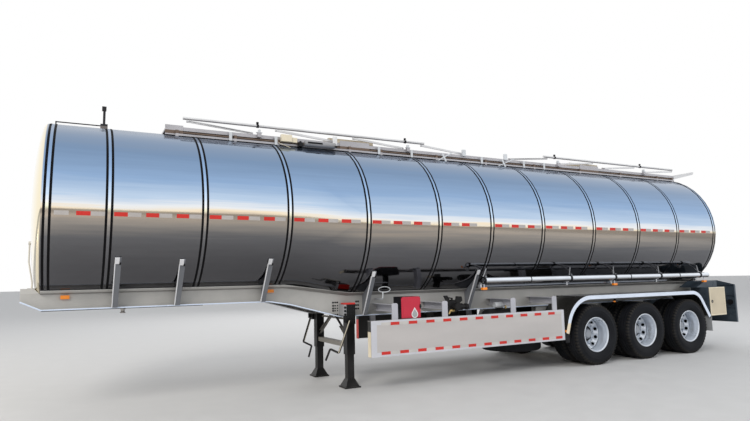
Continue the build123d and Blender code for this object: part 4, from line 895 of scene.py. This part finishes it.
# one tenth of a disc with its hand hole, measured from the wheel's centre
def discSector(direction):
    (low, lowAlong), (high, highAlong) = wheel["discInner"], wheel["discOuter"]
    slope = (highAlong - lowAlong) / (high - low)
    middle = (low + high) / 2
    spread = math.pi / wheel["holes"]
    count = wheel["holeSteps"]
    spots = []
    for i in range(count):
        a = 2 * math.pi * (i + 0.5) / count
        c, s = math.cos(a), math.sin(a)
        reach = 1 / max(abs(c), abs(s))
        hole = middle + s * wheel["holeRadius"] * wheel["holeFlat"]
        rim = middle + s * reach * (high - middle)
        spots += [(hole, c * wheel["holeRadius"] / hole), (rim, c * reach * spread)]
    spots += [(r, t * spread) for r in (low, high) for t in (-1, 1)]
    points = []
    for r, turn in spots:
        along = wheel["discPlane"] + direction * (lowAlong + slope * (r - low))
        points.append((r * math.sin(turn), along, r * math.cos(turn)))
    faces = []
    for i in range(count):
        j = (i + 1) % count
        faces.append([2 * i, 2 * i + 1, 2 * j + 1, 2 * j])
    for corner in range(2 * count, 2 * count + 4):
        spot = Vector(points[corner])
        nearest = sorted(range(count), key=lambda i: (Vector(points[2 * i + 1]) - spot).length)[:2]
        faces.append([corner, 2 * nearest[0] + 1, 2 * nearest[1] + 1])
    return points, faces


def rimProfile(centre):
    lip, seat = wheel["rimLip"], wheel["rimSeat"]
    inside = [(r, centre + w) for r, w in lip] + [(r, centre - w) for r, w in reversed(lip)]
    return inside + [(r, centre - w) for r, w in seat] + [(r, centre + w) for r, w in reversed(seat)]


def alongFrom(start, profile, direction=1):
    return [(r, start + direction * t) for r, t in profile]


def wheelShapes(x, z):
    shapes = [turned(rimProfile(centre), x, z) for centre in tyre["centres"]]
    flats = [alongFrom(wheel["discPlane"], wheel["flat"], d) for d in (-1, 1)]
    return joined(*shapes, *[turned(flat, x, z, 80) for flat in flats])


def hubShapes(x, z):
    hub = [*wheel["hubBack"], *alongFrom(wheel["discPlane"], wheel["hubFace"]),
           *alongFrom(wheel["hubEnd"], wheel["hubTip"]), *wheel["hubBore"]]
    return joined(turned(hub, x, z, 64), turned(wheel["drum"], x, z, 80))


# one wheel nut with its washer and stud, at the top of the nut circle
def nutShape():
    base = wheel["discPlane"] + wheel["nutBase"]
    parts = (("washer", 12), ("nut", 6), ("stud", 10))
    return joined(*[turned(alongFrom(base, wheel[k]), 0, wheel["nutCircle"], sides) for k, sides in parts])


discSeed = joined(discSector(-1), discSector(1))
for number, back in enumerate(tyre["axles"], 1):
    x, y, z = at(back, 0, tyre["radius"])
    rims, hubs = wheelShapes(x, z), hubShapes(x, z)
    sizes = {"count": wheel["holes"], "centre": (x, 0, z), "start": 0.0}
    nutSizes = {**sizes, "start": math.pi / wheel["holes"]}
    for side, flip in flips:
        end = f"{side}_{number}"
        body = f"wheel_{end}"
        addPiece(f"wheelRims_{end}", flip(rims), wheelSilver, body,
                 replaces=[f"wheels_{end}"])
        addPiece(f"wheelHub_{end}", flip(hubs), hubBlack, body)
        dish = grown(f"wheelDiscs_{end}", flip(discSeed), "turn", sizes, wheelSilver, body,
                     smoothAngle=50, weld=0.0002)
        wall = dish.modifiers.new("wall", "SOLIDIFY")
        wall.thickness = wheel["discWall"]
        wall.offset = 0
        grown(f"wheelNuts_{end}", flip(nutShape()), "turn", nutSizes, wheelSilver, body)
print("stage: wheels made")

# Side guards: a panel inside a raised border, with reflecting tape along its upper and lower edge
guard = {
    "left": 4.300, "right": 5.270, "rear": 8.020, "low": 0.490, "high": 1.000, "face": 1.2475,
    "returnDepth": 0.098, "lip": 0.040, "sheet": 0.004, "seams": (5.90, 7.42), "seamHalf": 0.002,
    "seamStand": 0.0006, "border": 0.062, "frontBorder": 0.093, "borderFace": 1.2490, "litTop": 0.846,
    "litProud": 0.0015, "tapeHeight": 0.043, "tapeLength": 0.147, "tapeThickness": 0.0014,
    "tapeStand": 0.0001, "tapeFrom": 0.13,
    "pitch": 0.3045, "rows": ((0.950, 4.618), (0.540, 4.462)), "rowEnd": 7.95,
    "borderSink": 0.0005,
}


def guardShapes(front):
    rear, low, high, face = (guard[k] for k in ("rear", "low", "high", "face"))
    sheet, edge = guard["sheet"], guard["border"]
    deep, lip, half = face - guard["returnDepth"], face - guard["lip"], guard["seamHalf"]
    inset = box2d(front + guard["frontBorder"], rear - edge, low + edge, high - edge)
    panel = blocks(
        (front, rear, face - sheet, face, low, high), (front, front + sheet, deep, face, low, high),
        (rear - sheet, rear, deep, face, low, high), (front, rear, lip, face, low, low + sheet),
        (front, rear, lip, face, high - sheet, high))
    seams = blocksAt(guard["seams"], (-half, half, face - sheet, face + guard["seamStand"], low, high))
    outer = box2d(front, rear, low, high)
    border = sideFrame(outer, inset, face - guard["borderSink"], guard["borderFace"])
    return joined(panel, seams), border


def tapeRow(front, start, side, z, pale):
    spots = []
    back = start + guard["tapeLength"] / 2 - guard["pitch"] * (2.5 if pale else 2)
    while back < guard["rowEnd"]:
        if back > front + guard["tapeFrom"]:
            spots.append((at(back, side * (guard["borderFace"] + guard["tapeStand"]), z), (0, side, 0)))
        back += guard["pitch"]
    return spots


panels, borders = zip(guardShapes(guard["left"]), [mirrored(s) for s in guardShapes(guard["right"])])
addPiece("guardPanels", joined(*panels), panelMetal, replaces=["side_guards"])
addPiece("guardBorders", joined(*borders), borderMetal)
# the left guard's front return gets a cream strip up to litTop, painted sunlight; the right one a red strip
for sideName, s, material in (("left", 1, creamEdge), ("right", -1, tapeRed)):
    front, face, sheet = guard[sideName], guard["face"], guard["sheet"]
    addPiece(f"guardFront_{sideName}", block(
        front - guard["litProud"], front, s * (face - guard["returnDepth"]), s * (face - sheet),
        guard["low"] + sheet, guard["litTop"]), material)
tapeSizes = {"length": guard["tapeLength"], "height": guard["tapeHeight"],
             "thickness": guard["tapeThickness"]}
for tapeName, pale, material in (("guardTapeRed", False, tapeRed), ("guardTapePale", True, tapeCream)):
    spots = []
    for side, front in ((1, guard["left"]), (-1, guard["right"])):
        for z, start in guard["rows"]:
            spots += tapeRow(front, start, side, z, pale)
    grownAt(tapeName, spots, "tape", tapeSizes, material)
print("stage: side guards made")

# Extinguisher cover: a red lid with rounded shoulders, a raised panel, a drop-shaped window and a latch
cover = {
    "front": 4.830, "rear": 5.160, "low": 1.008, "high": 1.320, "inner": 1.1965, "outer": 1.2100,
    "shoulder": 0.036, "panelRise": 0.004, "panelInset": 0.026, "panelFoot": 0.018, "panelShoulder": 0.022,
    "dropBack": 5.052, "dropCentre": 1.062, "drop": (0.044, 1.138), "dropFrame": (0.055, 1.162),
    "dropSteps": 20, "panelSink": 0.002, "windowSink": 0.001, "windowRise": 0.001, "frameRise": 0.003,
    "latch": ((5.146, 5.163, 1.1975, 1.2180, 1.140, 1.206), (5.140, 5.168, 1.2100, 1.2240, 1.160, 1.187)),
}


def dropOutline(radius, top):
    back, centre = cover["dropBack"], cover["dropCentre"]
    reach = math.pi / 2 + math.acos(radius / (top - centre))
    return [(back, top)] + arc(back, centre, radius, reach, 3 * math.pi - reach, cover["dropSteps"])


front, rear, low, high, inset = (cover[k] for k in ("front", "rear", "low", "high", "panelInset"))
coverFace, panelFace = cover["outer"], cover["outer"] + cover["panelRise"]
coverOutline = roundedTop(front, rear, low, high, cover["shoulder"])
panelOutline = roundedTop(front + inset, rear - inset, low + cover["panelFoot"], high - inset,
                          cover["panelShoulder"])
body = "extinguisher_front"
addPiece("extinguisherCover", sidePrism(coverOutline, cover["inner"], coverFace), redPlastic, body,
         bevel=0.005, replaces=["extinguisher_door"])
panel = sidePrism(panelOutline, coverFace - cover["panelSink"], panelFace)
addPiece("extinguisherPanel", panel, redPlastic, body, bevel=0.003)
innerDrop, outerDrop = dropOutline(*cover["drop"]), dropOutline(*cover["dropFrame"])
sunk = panelFace - cover["windowSink"]
addPiece("extinguisherWindow", sidePrism(innerDrop, sunk, panelFace + cover["windowRise"]), windowGrey, body)
addPiece("extinguisherWindowFrame", sideFrame(outerDrop, innerDrop, sunk, panelFace + cover["frameRise"]),
         windowWhite, body)
addPiece("extinguisherLatch", blocks(*cover["latch"]), blackPlastic, body, bevel=0.002)
print("stage: extinguisher cover made")

# Landing legs: bolts on the brackets and the rail webs, and a red stripe
legs = {
    "face": 0.730, "columns": (4.140, 4.190, 4.238, 4.285), "rows": (0.975, 1.026, 1.077, 1.128, 1.179),
    "bolt": {"radius": 0.014, "height": 0.009}, "webFace": 0.568,
    "webs": (((4.015, 4.050, 4.085), (1.075, 1.130, 1.165, 1.205, 1.252)),
             ((4.400, 4.435), (1.148, 1.200, 1.256))),
    "webBolt": {"radius": 0.010, "height": 0.012}, "stripe": (4.116, 4.307, 0.628, 0.733, 1.222, 1.247),
}
legSpots = flankSpots([(back, legs["face"], z) for back in legs["columns"] for z in legs["rows"]])
grownAt("legBolts", legSpots, "bolt", legs["bolt"], blackPaint)
webPlaces = [(back, legs["webFace"], z) for backs, rows in legs["webs"] for back in backs for z in rows]
grownAt("webBolts", flankSpots(webPlaces), "bolt", legs["webBolt"], blackPaint)
addPiece("legStripes", bothSides(block(*legs["stripe"])), tapeRed, bevel=0.002)

# Cranks: a thicker grip over each rod, and a cream line along its upper length, a painted highlight
crank = {
    "left": ((4.188, 0.722, 0.991), (4.188, 0.790, 0.991), (4.004, 0.790, 0.536), (3.923, 0.660, 0.586),
             (3.851, 0.660, 0.424)),
    "right": ((4.190, -0.722, 0.987), (4.190, -0.790, 0.987), (4.047, -0.790, 0.556), (4.148, -0.660, 0.495),
              (4.093, -0.660, 0.311)),
    "radius": 0.0155, "bend": 0.018, "edge": 0.0065, "offset": 0.011,
}
for sideName, shift in (("left", -1), ("right", 1)):
    route = crank[sideName]
    wires(f"crank_{sideName}", [[at(*p) for p in route]], crank["radius"], blackPaint, bend=crank["bend"])
    line = [at(back + shift * crank["offset"], y + crank["offset"], z) for back, y, z in route[1:3]]
    wires(f"crankLine_{sideName}", [line], crank["edge"], crankPaintedHighlight, bend=0.0, sides=8)
print("stage: landing legs finished")

# Walkway trim: ribs across the plate, clamps on the rails, fittings on the rests
walk = {
    "top": 3.733, "ribPitch": 0.055, "ribHalf": 0.006, "ribRise": 0.0035, "ribSink": 0.001, "outer": 0.404,
    "spans": ((1.63, 4.06), (4.92, 9.36), (10.22, 12.44)), "railHeight": 3.905, "railY": 0.350,
    "clampPlaces": (("rail_front", 2.914), ("rail_front", 5.480), ("rail_rear", 8.931),
                    ("rail_rear", 11.458)),
    "collar": ((0.0215, -0.016), (0.029, -0.016), (0.029, 0.016), (0.0215, 0.016), (0.0215, -0.016)),
    "knob": ((0.010, 0), (0.010, 0.012), (0.020, 0.016), (0.022, 0.030), (0.016, 0.040), (0.004, 0.042)),
    "knobRise": 0.020,
    "rest": ((-0.045, 0.045, 0.424, 0.459, 3.7785, 3.786), (-0.012, 0.022, 0.404, 0.452, 3.786, 3.828)),
}
for number, (front, rear) in enumerate(walk["spans"], 1):
    rib = block(front - walk["ribHalf"], front + walk["ribHalf"], -walk["outer"], walk["outer"],
                walk["top"] - walk["ribSink"], walk["top"] + walk["ribRise"])
    ribSizes = {"count": int((rear - front) / walk["ribPitch"]) + 1, "step": (-walk["ribPitch"], 0, 0)}
    grown(f"walkRibs_{number}", rib, "row", ribSizes, deckMetal)
for number, (body, back) in enumerate(walk["clampPlaces"], 1):
    y, z = walk["railY"], walk["railHeight"]
    collar = spindle(at(back, y, z), at(back + 1, y, z), walk["collar"], 20)
    knob = spindle(at(back, y, z + walk["knobRise"]), at(back, y, z + 1), walk["knob"], 16)
    addPiece(f"railClamp_{number}", joined(collar, knob), blackPlastic, body)
addPiece("restFittings", blocksAt([back for body, back in walk["clampPlaces"]], *walk["rest"]), paleGrey,
         bevel=0.003)

# Gear beside the walkway: a cream box, a black block with its knob, a pipe, a plate, clamps, braces, a strap
gear = {
    "inner": 0.4605,
    "box": ((3.230, 3.400, 0.4605, 0.525, 3.668, 3.775), (3.400, 3.490, 0.4605, 0.500, 3.668, 3.745)),
    "pipe": ((3.600, 4.120), 0.512, 3.672, 0.044), "pipeEnd": ((0.8, 0.002), (1, 0.02)), "pipeTip": 0.004,
    "black": ((3.505, 3.575, 0.4605, 0.535, 3.612, 3.672), (3.640, 3.880, 0.536, 0.561, 3.664, 3.690),
              (4.085, 4.122, 0.470, 0.560, 3.640, 3.662)),
    "knobSpot": (3.540, 0.500, 3.670),
    "knobProfile": ((0.004, 0), (0.018, 0), (0.018, 0.020), (0.012, 0.030), (0.004, 0.032)),
    "plate": (4.088, 4.165, 0.4605, 0.470, 3.690, 3.838),
    "clamps": (2.486, 3.165, 4.913, 5.539, 7.022, 8.018, 8.529),
    "clamp": (-0.022, 0.022, 0.4605, 0.472, 3.615, 3.745),
    "knobs": (6.642, 7.592), "knob": (-0.036, 0.036, 0.424, 0.458, 3.732, 3.846),
    "braces": ((6.055, 0.330), (7.385, 0.420)), "braceHeights": (3.606, 3.762), "braceEnds": (0.040, 0.045),
    "braceOuter": 0.467, "crossing": ((0.09, 3.735), (0.13, 3.735), (0.20, 3.600), (0.16, 3.600)),
    "crossingFaces": (0.4615, 0.470), "strap": ((3.205, 0.470, 3.650), (3.350, 0.575)), "strapStand": 0.006,
    "strapRadius": 0.012, "strapHeight": 0.005,
}
addPiece("walkwayBox", blocks(*gear["box"]), creamEdge, bevel=0.004)
pipe = barrel(gear["pipe"], gear["pipeTip"], gear["pipeEnd"], gear["pipeEnd"][::-1], 32)
addPiece("walkwayPipe", pipe, pipeGrey)
back, y, z = gear["knobSpot"]
knob = spindle(at(back, y, z), at(back, y, z + 1), gear["knobProfile"], 16)
addPiece("walkwayBlock", joined(blocks(*gear["black"]), knob), blackPlastic, bevel=0.002)
addPiece("walkwayPlate", block(*gear["plate"]), windowWhite, bevel=0.002)
gearShapes = [blocksAt(gear["clamps"], gear["clamp"]), blocksAt(gear["knobs"], gear["knob"])]
(low, high), (foot, head) = gear["braceHeights"], gear["braceEnds"]
for back, length in gear["braces"]:
    brace = ((back, low), (back + foot, low), (back + length, high), (back + length - head, high))
    crossing = [(back + shift, z) for shift, z in gear["crossing"]]
    gearShapes += [sidePrism(brace, gear["inner"], gear["braceOuter"]),
                   sidePrism(crossing, *gear["crossingFaces"])]
addPiece("walkwayClamps", joined(*gearShapes), paleGrey, bevel=0.003)
strapTop, (back, y) = gear["strap"]
strap = [at(*strapTop), at(back, y, shellAt(back, y, True) + gear["strapStand"])]
wires("walkwayStrap", [strap], gear["strapRadius"], creamEdge, sides=8, height=gear["strapHeight"])
print("stage: walkway trim made")

# Manhole lids: a ring of clamps, and a small breather in the middle
lid = {
    "places": (("lid_front", 4.490), ("lid_rear", 9.790)), "face": 3.8113, "circle": 0.222, "bolts": 12,
    "bolt": {"radius": 0.013, "height": 0.010}, "capFoot": 3.8225,
    "cap": ((0.060, 0), (0.060, 0.012), (0.048, 0.020), (0.046, 0.034), (0.030, 0.042), (0.004, 0.044)),
}
for body, back in lid["places"]:
    spots = [(at(back - lid["circle"] * math.cos(a), lid["circle"] * math.sin(a), lid["face"]), (0, 0, 1))
             for a in fullTurn(lid["bolts"])]
    grownAt(f"{body}_bolts", spots, "bolt", lid["bolt"], bareSteel, body)
    cap = spindle(at(back, 0, lid["capFoot"]), at(back, 0, lid["capFoot"] + 1), lid["cap"], 32)
    addPiece(f"{body}_breather", cap, brightMetal, body)
print("stage: manhole lids finished")

# Tubes along the flanks: a black cap on the front end, with dark bands
tubeTrim = {"y": 1.150, "z": 1.530, "radii": (0.0505, 0.0545),
            "bands": ((6.392, 0.035), (7.38, 0.012), (9.86, 0.012), (11.30, 0.012))}


# a closed ring round the tube's line, from a place back over a length
def tubeRing(back, length, inner, outer):
    profile = ((inner, 0), (outer, 0), (outer, length), (inner, length), (inner, 0))
    start, end = (at(b, tubeTrim["y"], tubeTrim["z"]) for b in (back, back + 1))
    return spindle(start, end, profile, 40)


caps = [tubeRing(back, length, *tubeTrim["radii"]) for back, length in tubeTrim["bands"]]
addPiece("tubeBands", bothSides(joined(*caps)), blackPlastic)

# Struts: a dark collar round the tube, a slanting pair of bars to the flank, and an arm to the conduit behind
strut = {
    "places": (6.410, 8.320, 9.450, 10.740, 11.980), "collar": (0.0505, 0.058), "halfWidth": 0.018,
    "bars": ((1.735, -0.004, 0.20), (1.660, 0.06, 0.23)), "barFoot": (1.138, 1.582), "bar": 0.011,
    "barStand": 0.002,
    "arms": ((-0.018, 0.018, 1.017, 1.073, 1.412, 1.468), (-0.018, 0.018, 1.045, 1.110, 1.468, 1.500)),
}
half = strut["halfWidth"]
collars = [tubeRing(back - half, 2 * half, *strut["collar"]) for back in strut["places"]]
bars = [[at(back + foot, *strut["barFoot"]), flankAt(back + lean, height, strut["barStand"])[0]]
        for back in strut["places"] for height, foot, lean in strut["bars"]]
mirroredBars = [[(x, -y, z) for x, y, z in bar] for bar in bars]
addPiece("strutCollars", bothSides(joined(*collars)), blackPlastic, replaces=["tube_struts"])
addPiece("strutArms", bothSides(blocksAt(strut["places"], *strut["arms"])), strutMetal)
wires("strutBars", bars + mirroredBars, strut["bar"], strutMetal, sides=10)

# Fenders: a sheet over three wheels with its arms, and a deep bright band along its outer edge
fender = {
    "corners": ((8.060, 0.600), (8.260, 1.215), (11.782, 1.215), (12.112, 0.700)), "radii": (0.590, 0.380),
    "inner": 0.628, "outer": 1.2425, "sheet": 0.005, "innerLip": 0.042, "band": 0.068,
    "bandFaces": (1.2385, 1.2475), "armPlaces": (8.580, 9.472, 10.782, 11.500),
    "arm": (-0.020, 0.020, 0.565, 1.2365, 1.160, 1.211),
    "lamps": ((8.052, 8.090, 1.196, 1.240, 0.612, 0.650), (9.335, 9.371, 1.180, 1.215, 1.076, 1.102)),
    "brackets": ((8.075, 8.175, 1.196, 1.204, 0.430, 0.640), (8.075, 8.083, 1.150, 1.204, 0.430, 0.640),
                 (9.340, 9.366, 1.185, 1.245, 1.100, 1.176)),
}


def fenderStrip(depth, y0, y1):
    outer, inner = (roundedPath(fender["corners"], fender["radii"], d) for d in (0.0, depth))
    return sidePrism(outer + inner[::-1], y0, y1)


inner, sheet = fender["inner"], fender["sheet"]
sheets = joined(fenderStrip(sheet, inner, fender["outer"]),
                fenderStrip(fender["innerLip"], inner, inner + sheet),
                blocksAt(fender["armPlaces"], fender["arm"]))
addPiece("fenderSheets", bothSides(sheets), fenderMetal, replaces=["fenders"])
addPiece("fenderBands", bothSides(fenderStrip(fender["band"], *fender["bandFaces"])), edgeMetal,
         bevel=0.003)
addPiece("fenderLamps", bothSides(blocks(*fender["lamps"])), lampAmber, bevel=0.004)
addPiece("fenderBrackets", bothSides(blocks(*fender["brackets"])), blackPlastic, bevel=0.002)
print("stage: tube bands, struts and fender edges made")

# Small fittings on the left: a pale canister with a brass elbow
fitting = {
    "canister": ((6.797, 6.978), 0.905, 1.112, 0.052), "canisterFront": ((0.86, 0.004), (1, 0.016)),
    "canisterRear": ((1, 0.03), (0.8, 0.008), (0.384615, 0)),
    "elbow": ((6.978, 0.905, 1.112), (7.04, 0.905, 1.112), (7.04, 0.905, 1.05)),
    "tip": 0.004, "elbowRadius": 0.016, "elbowBend": 0.03,
}
canister = barrel(fitting["canister"], fitting["tip"], fitting["canisterFront"], fitting["canisterRear"], 32)
addPiece("canister", canister, paleGrey)
elbow = [at(*p) for p in fitting["elbow"]]
wires("brassElbow", [elbow], fitting["elbowRadius"], brass, bend=fitting["elbowBend"])

# Valve gear on the discharge pipe: two lever plates, an actuator and brass parts
valve = {
    "levers": (((5.805, 1.300), (5.871, 1.302), (5.950, 1.165), (5.985, 1.150), (5.900, 1.120)),
               ((6.050, 1.285), (6.150, 1.280), (6.165, 1.212), (6.075, 1.150), (6.030, 1.200))),
    "leverFaces": (0.860, 0.892), "actuator": ((6.040, 6.300), 0.835, 1.112, 0.056),
    "actuatorSteps": ((0.8, 0), (1, 0.02), (1, 0.15), (0.7, 0.155), (0.7, 0.20), (0.9, 0.205)),
    "cap": ((5.895, 5.990), 0.906, 1.062, 0.022), "capEnd": ((0.6, 0.003), (1, 0.02)),
    "drain": ((5.910, 0.906, 1.062), (5.880, 0.906, 1.010)),
    "actuatorTip": 0.004, "actuatorRear": ((0.9, 0),), "capTip": 0.003, "drainRadius": 0.013,
}
levers = [sidePrism(outline, *valve["leverFaces"]) for outline in valve["levers"]]
actuator = barrel(valve["actuator"], valve["actuatorTip"], valve["actuatorSteps"], valve["actuatorRear"], 28)
addPiece("valveGear", joined(*levers, actuator), blackPaint, bevel=0.003)
cap = barrel(valve["cap"], valve["capTip"], valve["capEnd"], valve["capEnd"][::-1], 20)
addPiece("brassCap", cap, brass)
wires("brassDrain", [[at(*p) for p in valve["drain"]]], valve["drainRadius"], brass)

# Hand loop behind the fourth gusset: an oval of rod on a stem from the rail
loop = {
    "back": 4.772, "y": 0.800, "z": 1.428, "halfLength": 0.102, "halfHeight": 0.042, "steps": 28,
    "rod": {"halfWidth": 0.007, "height": 0.007, "sides": 10},
    "stem": ((4.745, 0.800, 1.390), (4.742, 0.800, 1.285), (4.742, 0.567, 1.285)),
    "stemRadius": 0.010, "stemBend": 0.03,
}
ovalLoop = [at(loop["back"] + loop["halfLength"] * math.cos(a), loop["y"],
               loop["z"] + loop["halfHeight"] * math.sin(a)) for a in fullTurn(loop["steps"])]
loopEdges = [(i, (i + 1) % loop["steps"]) for i in range(loop["steps"])]
grown("handLoop", (ovalLoop, []), "bead", loop["rod"], paleGrey, edges=loopEdges)
stem = [at(*p) for p in loop["stem"]]
wires("handLoopStem", [stem], loop["stemRadius"], paleGrey, bend=loop["stemBend"])
print("stage: small fittings made")

# Cabinet doors: a panel with a raised border, and a round lock with its knob
door = {
    "front": 12.122, "rear": 12.640, "low": 0.700, "high": 1.270, "inner": 1.2360, "face": 1.2470,
    "borderFace": 1.2496, "borderSink": 0.0005, "border": 0.020, "lock": (12.195, 0.984),
    "dial": ((0.002, 0), (0.031, 0), (0.031, 0.0018), (0.020, 0.0018), (0.018, 0.0006), (0.002, 0.0006)),
    "knob": ((0.002, 0), (0.014, 0), (0.014, 0.0022), (0.002, 0.0024)),
}
front, rear, low, high, face, rim = (door[k] for k in ("front", "rear", "low", "high", "face", "border"))
doorOutline = box2d(front, rear, low, high)
inset = box2d(front + rim, rear - rim, low + rim, high - rim)
lockBack, lockZ = door["lock"]
centre, outward = at(lockBack, face, lockZ), at(lockBack, face + 1, lockZ)
for side, flip in flips:
    body = f"cabinet_{side}"
    addPiece(f"cabinetDoor_{side}", flip(sidePrism(doorOutline, door["inner"], face)), creamPaint, body,
             replaces=[f"cabinet_door_{side}"])
    border = sideFrame(doorOutline, inset, face - door["borderSink"], door["borderFace"])
    addPiece(f"cabinetDoorBorder_{side}", flip(border), creamEdge, body, bevel=0.0009)
    for name, profile, sides, material, slot in (("cabinetLock", "dial", 28, blackPlastic, "black_plastic"),
                                                 ("cabinetLockKnob", "knob", 20, bareSteel, "bare_steel")):
        addPiece(f"{name}_{side}", flip(spindle(centre, outward, door[profile], sides)), material, body)
print("stage: cabinet doors finished")

# Camera, floor, background and lights
view = {"spot": (6.0367, 8.5414, 1.6141), "yaw": 27.7672, "pitch": 6.6948, "roll": -1.1882, "lens": 27.37,
        "sensor": 36, "clip": 500}
yaw, pitch, roll = (math.radians(view[k]) for k in ("yaw", "pitch", "roll"))
ahead = Vector((-math.sin(yaw) * math.cos(pitch), -math.cos(yaw) * math.cos(pitch), math.sin(pitch)))
right = Vector((-math.cos(yaw), math.sin(yaw), 0))
up = right.cross(ahead)
across = right * math.cos(roll) + up * math.sin(roll)
above = -right * math.sin(roll) + up * math.cos(roll)
cameraData = bpy.data.cameras.new("camera")
cameraData.sensor_width = view["sensor"]
cameraData.lens = view["lens"]
cameraData.clip_end = view["clip"]
camera = newObject("camera", cameraData)
rows = [(across[i], above[i], -ahead[i], view["spot"][i]) for i in range(3)]
camera.matrix_world = Matrix((*rows, (0, 0, 0, 1)))
bpy.context.scene.camera = camera

floorMaterial = wornAndShaded("floorConcrete", (0.58, 0.575, 0.57), 0.8, mottle=0.03, grain=60, bump=0.05)
floorReach = 160
corners = [(x * floorReach, y * floorReach, 0) for x, y in ((-1, -1), (1, -1), (1, 1), (-1, 1))]
newObject("floor", newMesh("floor", (corners, [(0, 1, 2, 3)]), floorMaterial))

# a soft sky for light, and white where the camera or a reflection sees it
world = bpy.data.worlds.new("studio")
bpy.context.scene.world = world
world.use_nodes = True
worldTree = world.node_tree
worldTree.nodes.clear()
soft = addNode(worldTree, "ShaderNodeBackground", {"Color": (0.93, 0.96, 1.0, 1), "Strength": 0.75})
white = addNode(worldTree, "ShaderNodeBackground", {"Color": (1, 1, 1, 1), "Strength": 1.0})
rayKinds = addNode(worldTree, "ShaderNodeLightPath").outputs
seen = mathNode(worldTree, "MAXIMUM", rayKinds["Is Camera Ray"], rayKinds["Is Glossy Ray"])
seen = mathNode(worldTree, "MAXIMUM", seen, rayKinds["Is Transmission Ray"])
choose = addNode(worldTree, "ShaderNodeMixShader", {"Fac": seen})
worldTree.links.new(soft.outputs["Background"], choose.inputs[1])
worldTree.links.new(white.outputs["Background"], choose.inputs[2])
addNode(worldTree, "ShaderNodeOutputWorld", {"Surface": choose.outputs["Shader"]})

# name: place, aim, size, power, colour
lamps = {
    "key": ((16, 14, 14), (0, 0, 1.5), 9, 2400, (1.0, 0.97, 0.92)),
    "low": ((18, -3, 3), (5, 0, 1.5), 4, 700, (1.0, 0.88, 0.66)),
    "fill": ((-14, 12, 10), (-2, 0, 1.5), 9, 900, (0.92, 0.96, 1.0)),
    "back": ((-4, -16, 12), (0, 0, 1.5), 9, 900, (1, 1, 1)),
}
for lampName, (spot, aim, size, power, colour) in lamps.items():
    lampData = bpy.data.lights.new(lampName, "AREA")
    lampData.shape = "DISK"
    lampData.size = size
    lampData.energy = power
    lampData.color = colour
    lamp = newObject(lampName, lampData)
    lamp.location = spot
    lamp.rotation_euler = (Vector(aim) - Vector(spot)).to_track_quat("-Z", "Y").to_euler()
    lamp.visible_glossy = False
bpy.context.scene.view_settings.view_transform = "Standard"
print("stage: camera and light set")
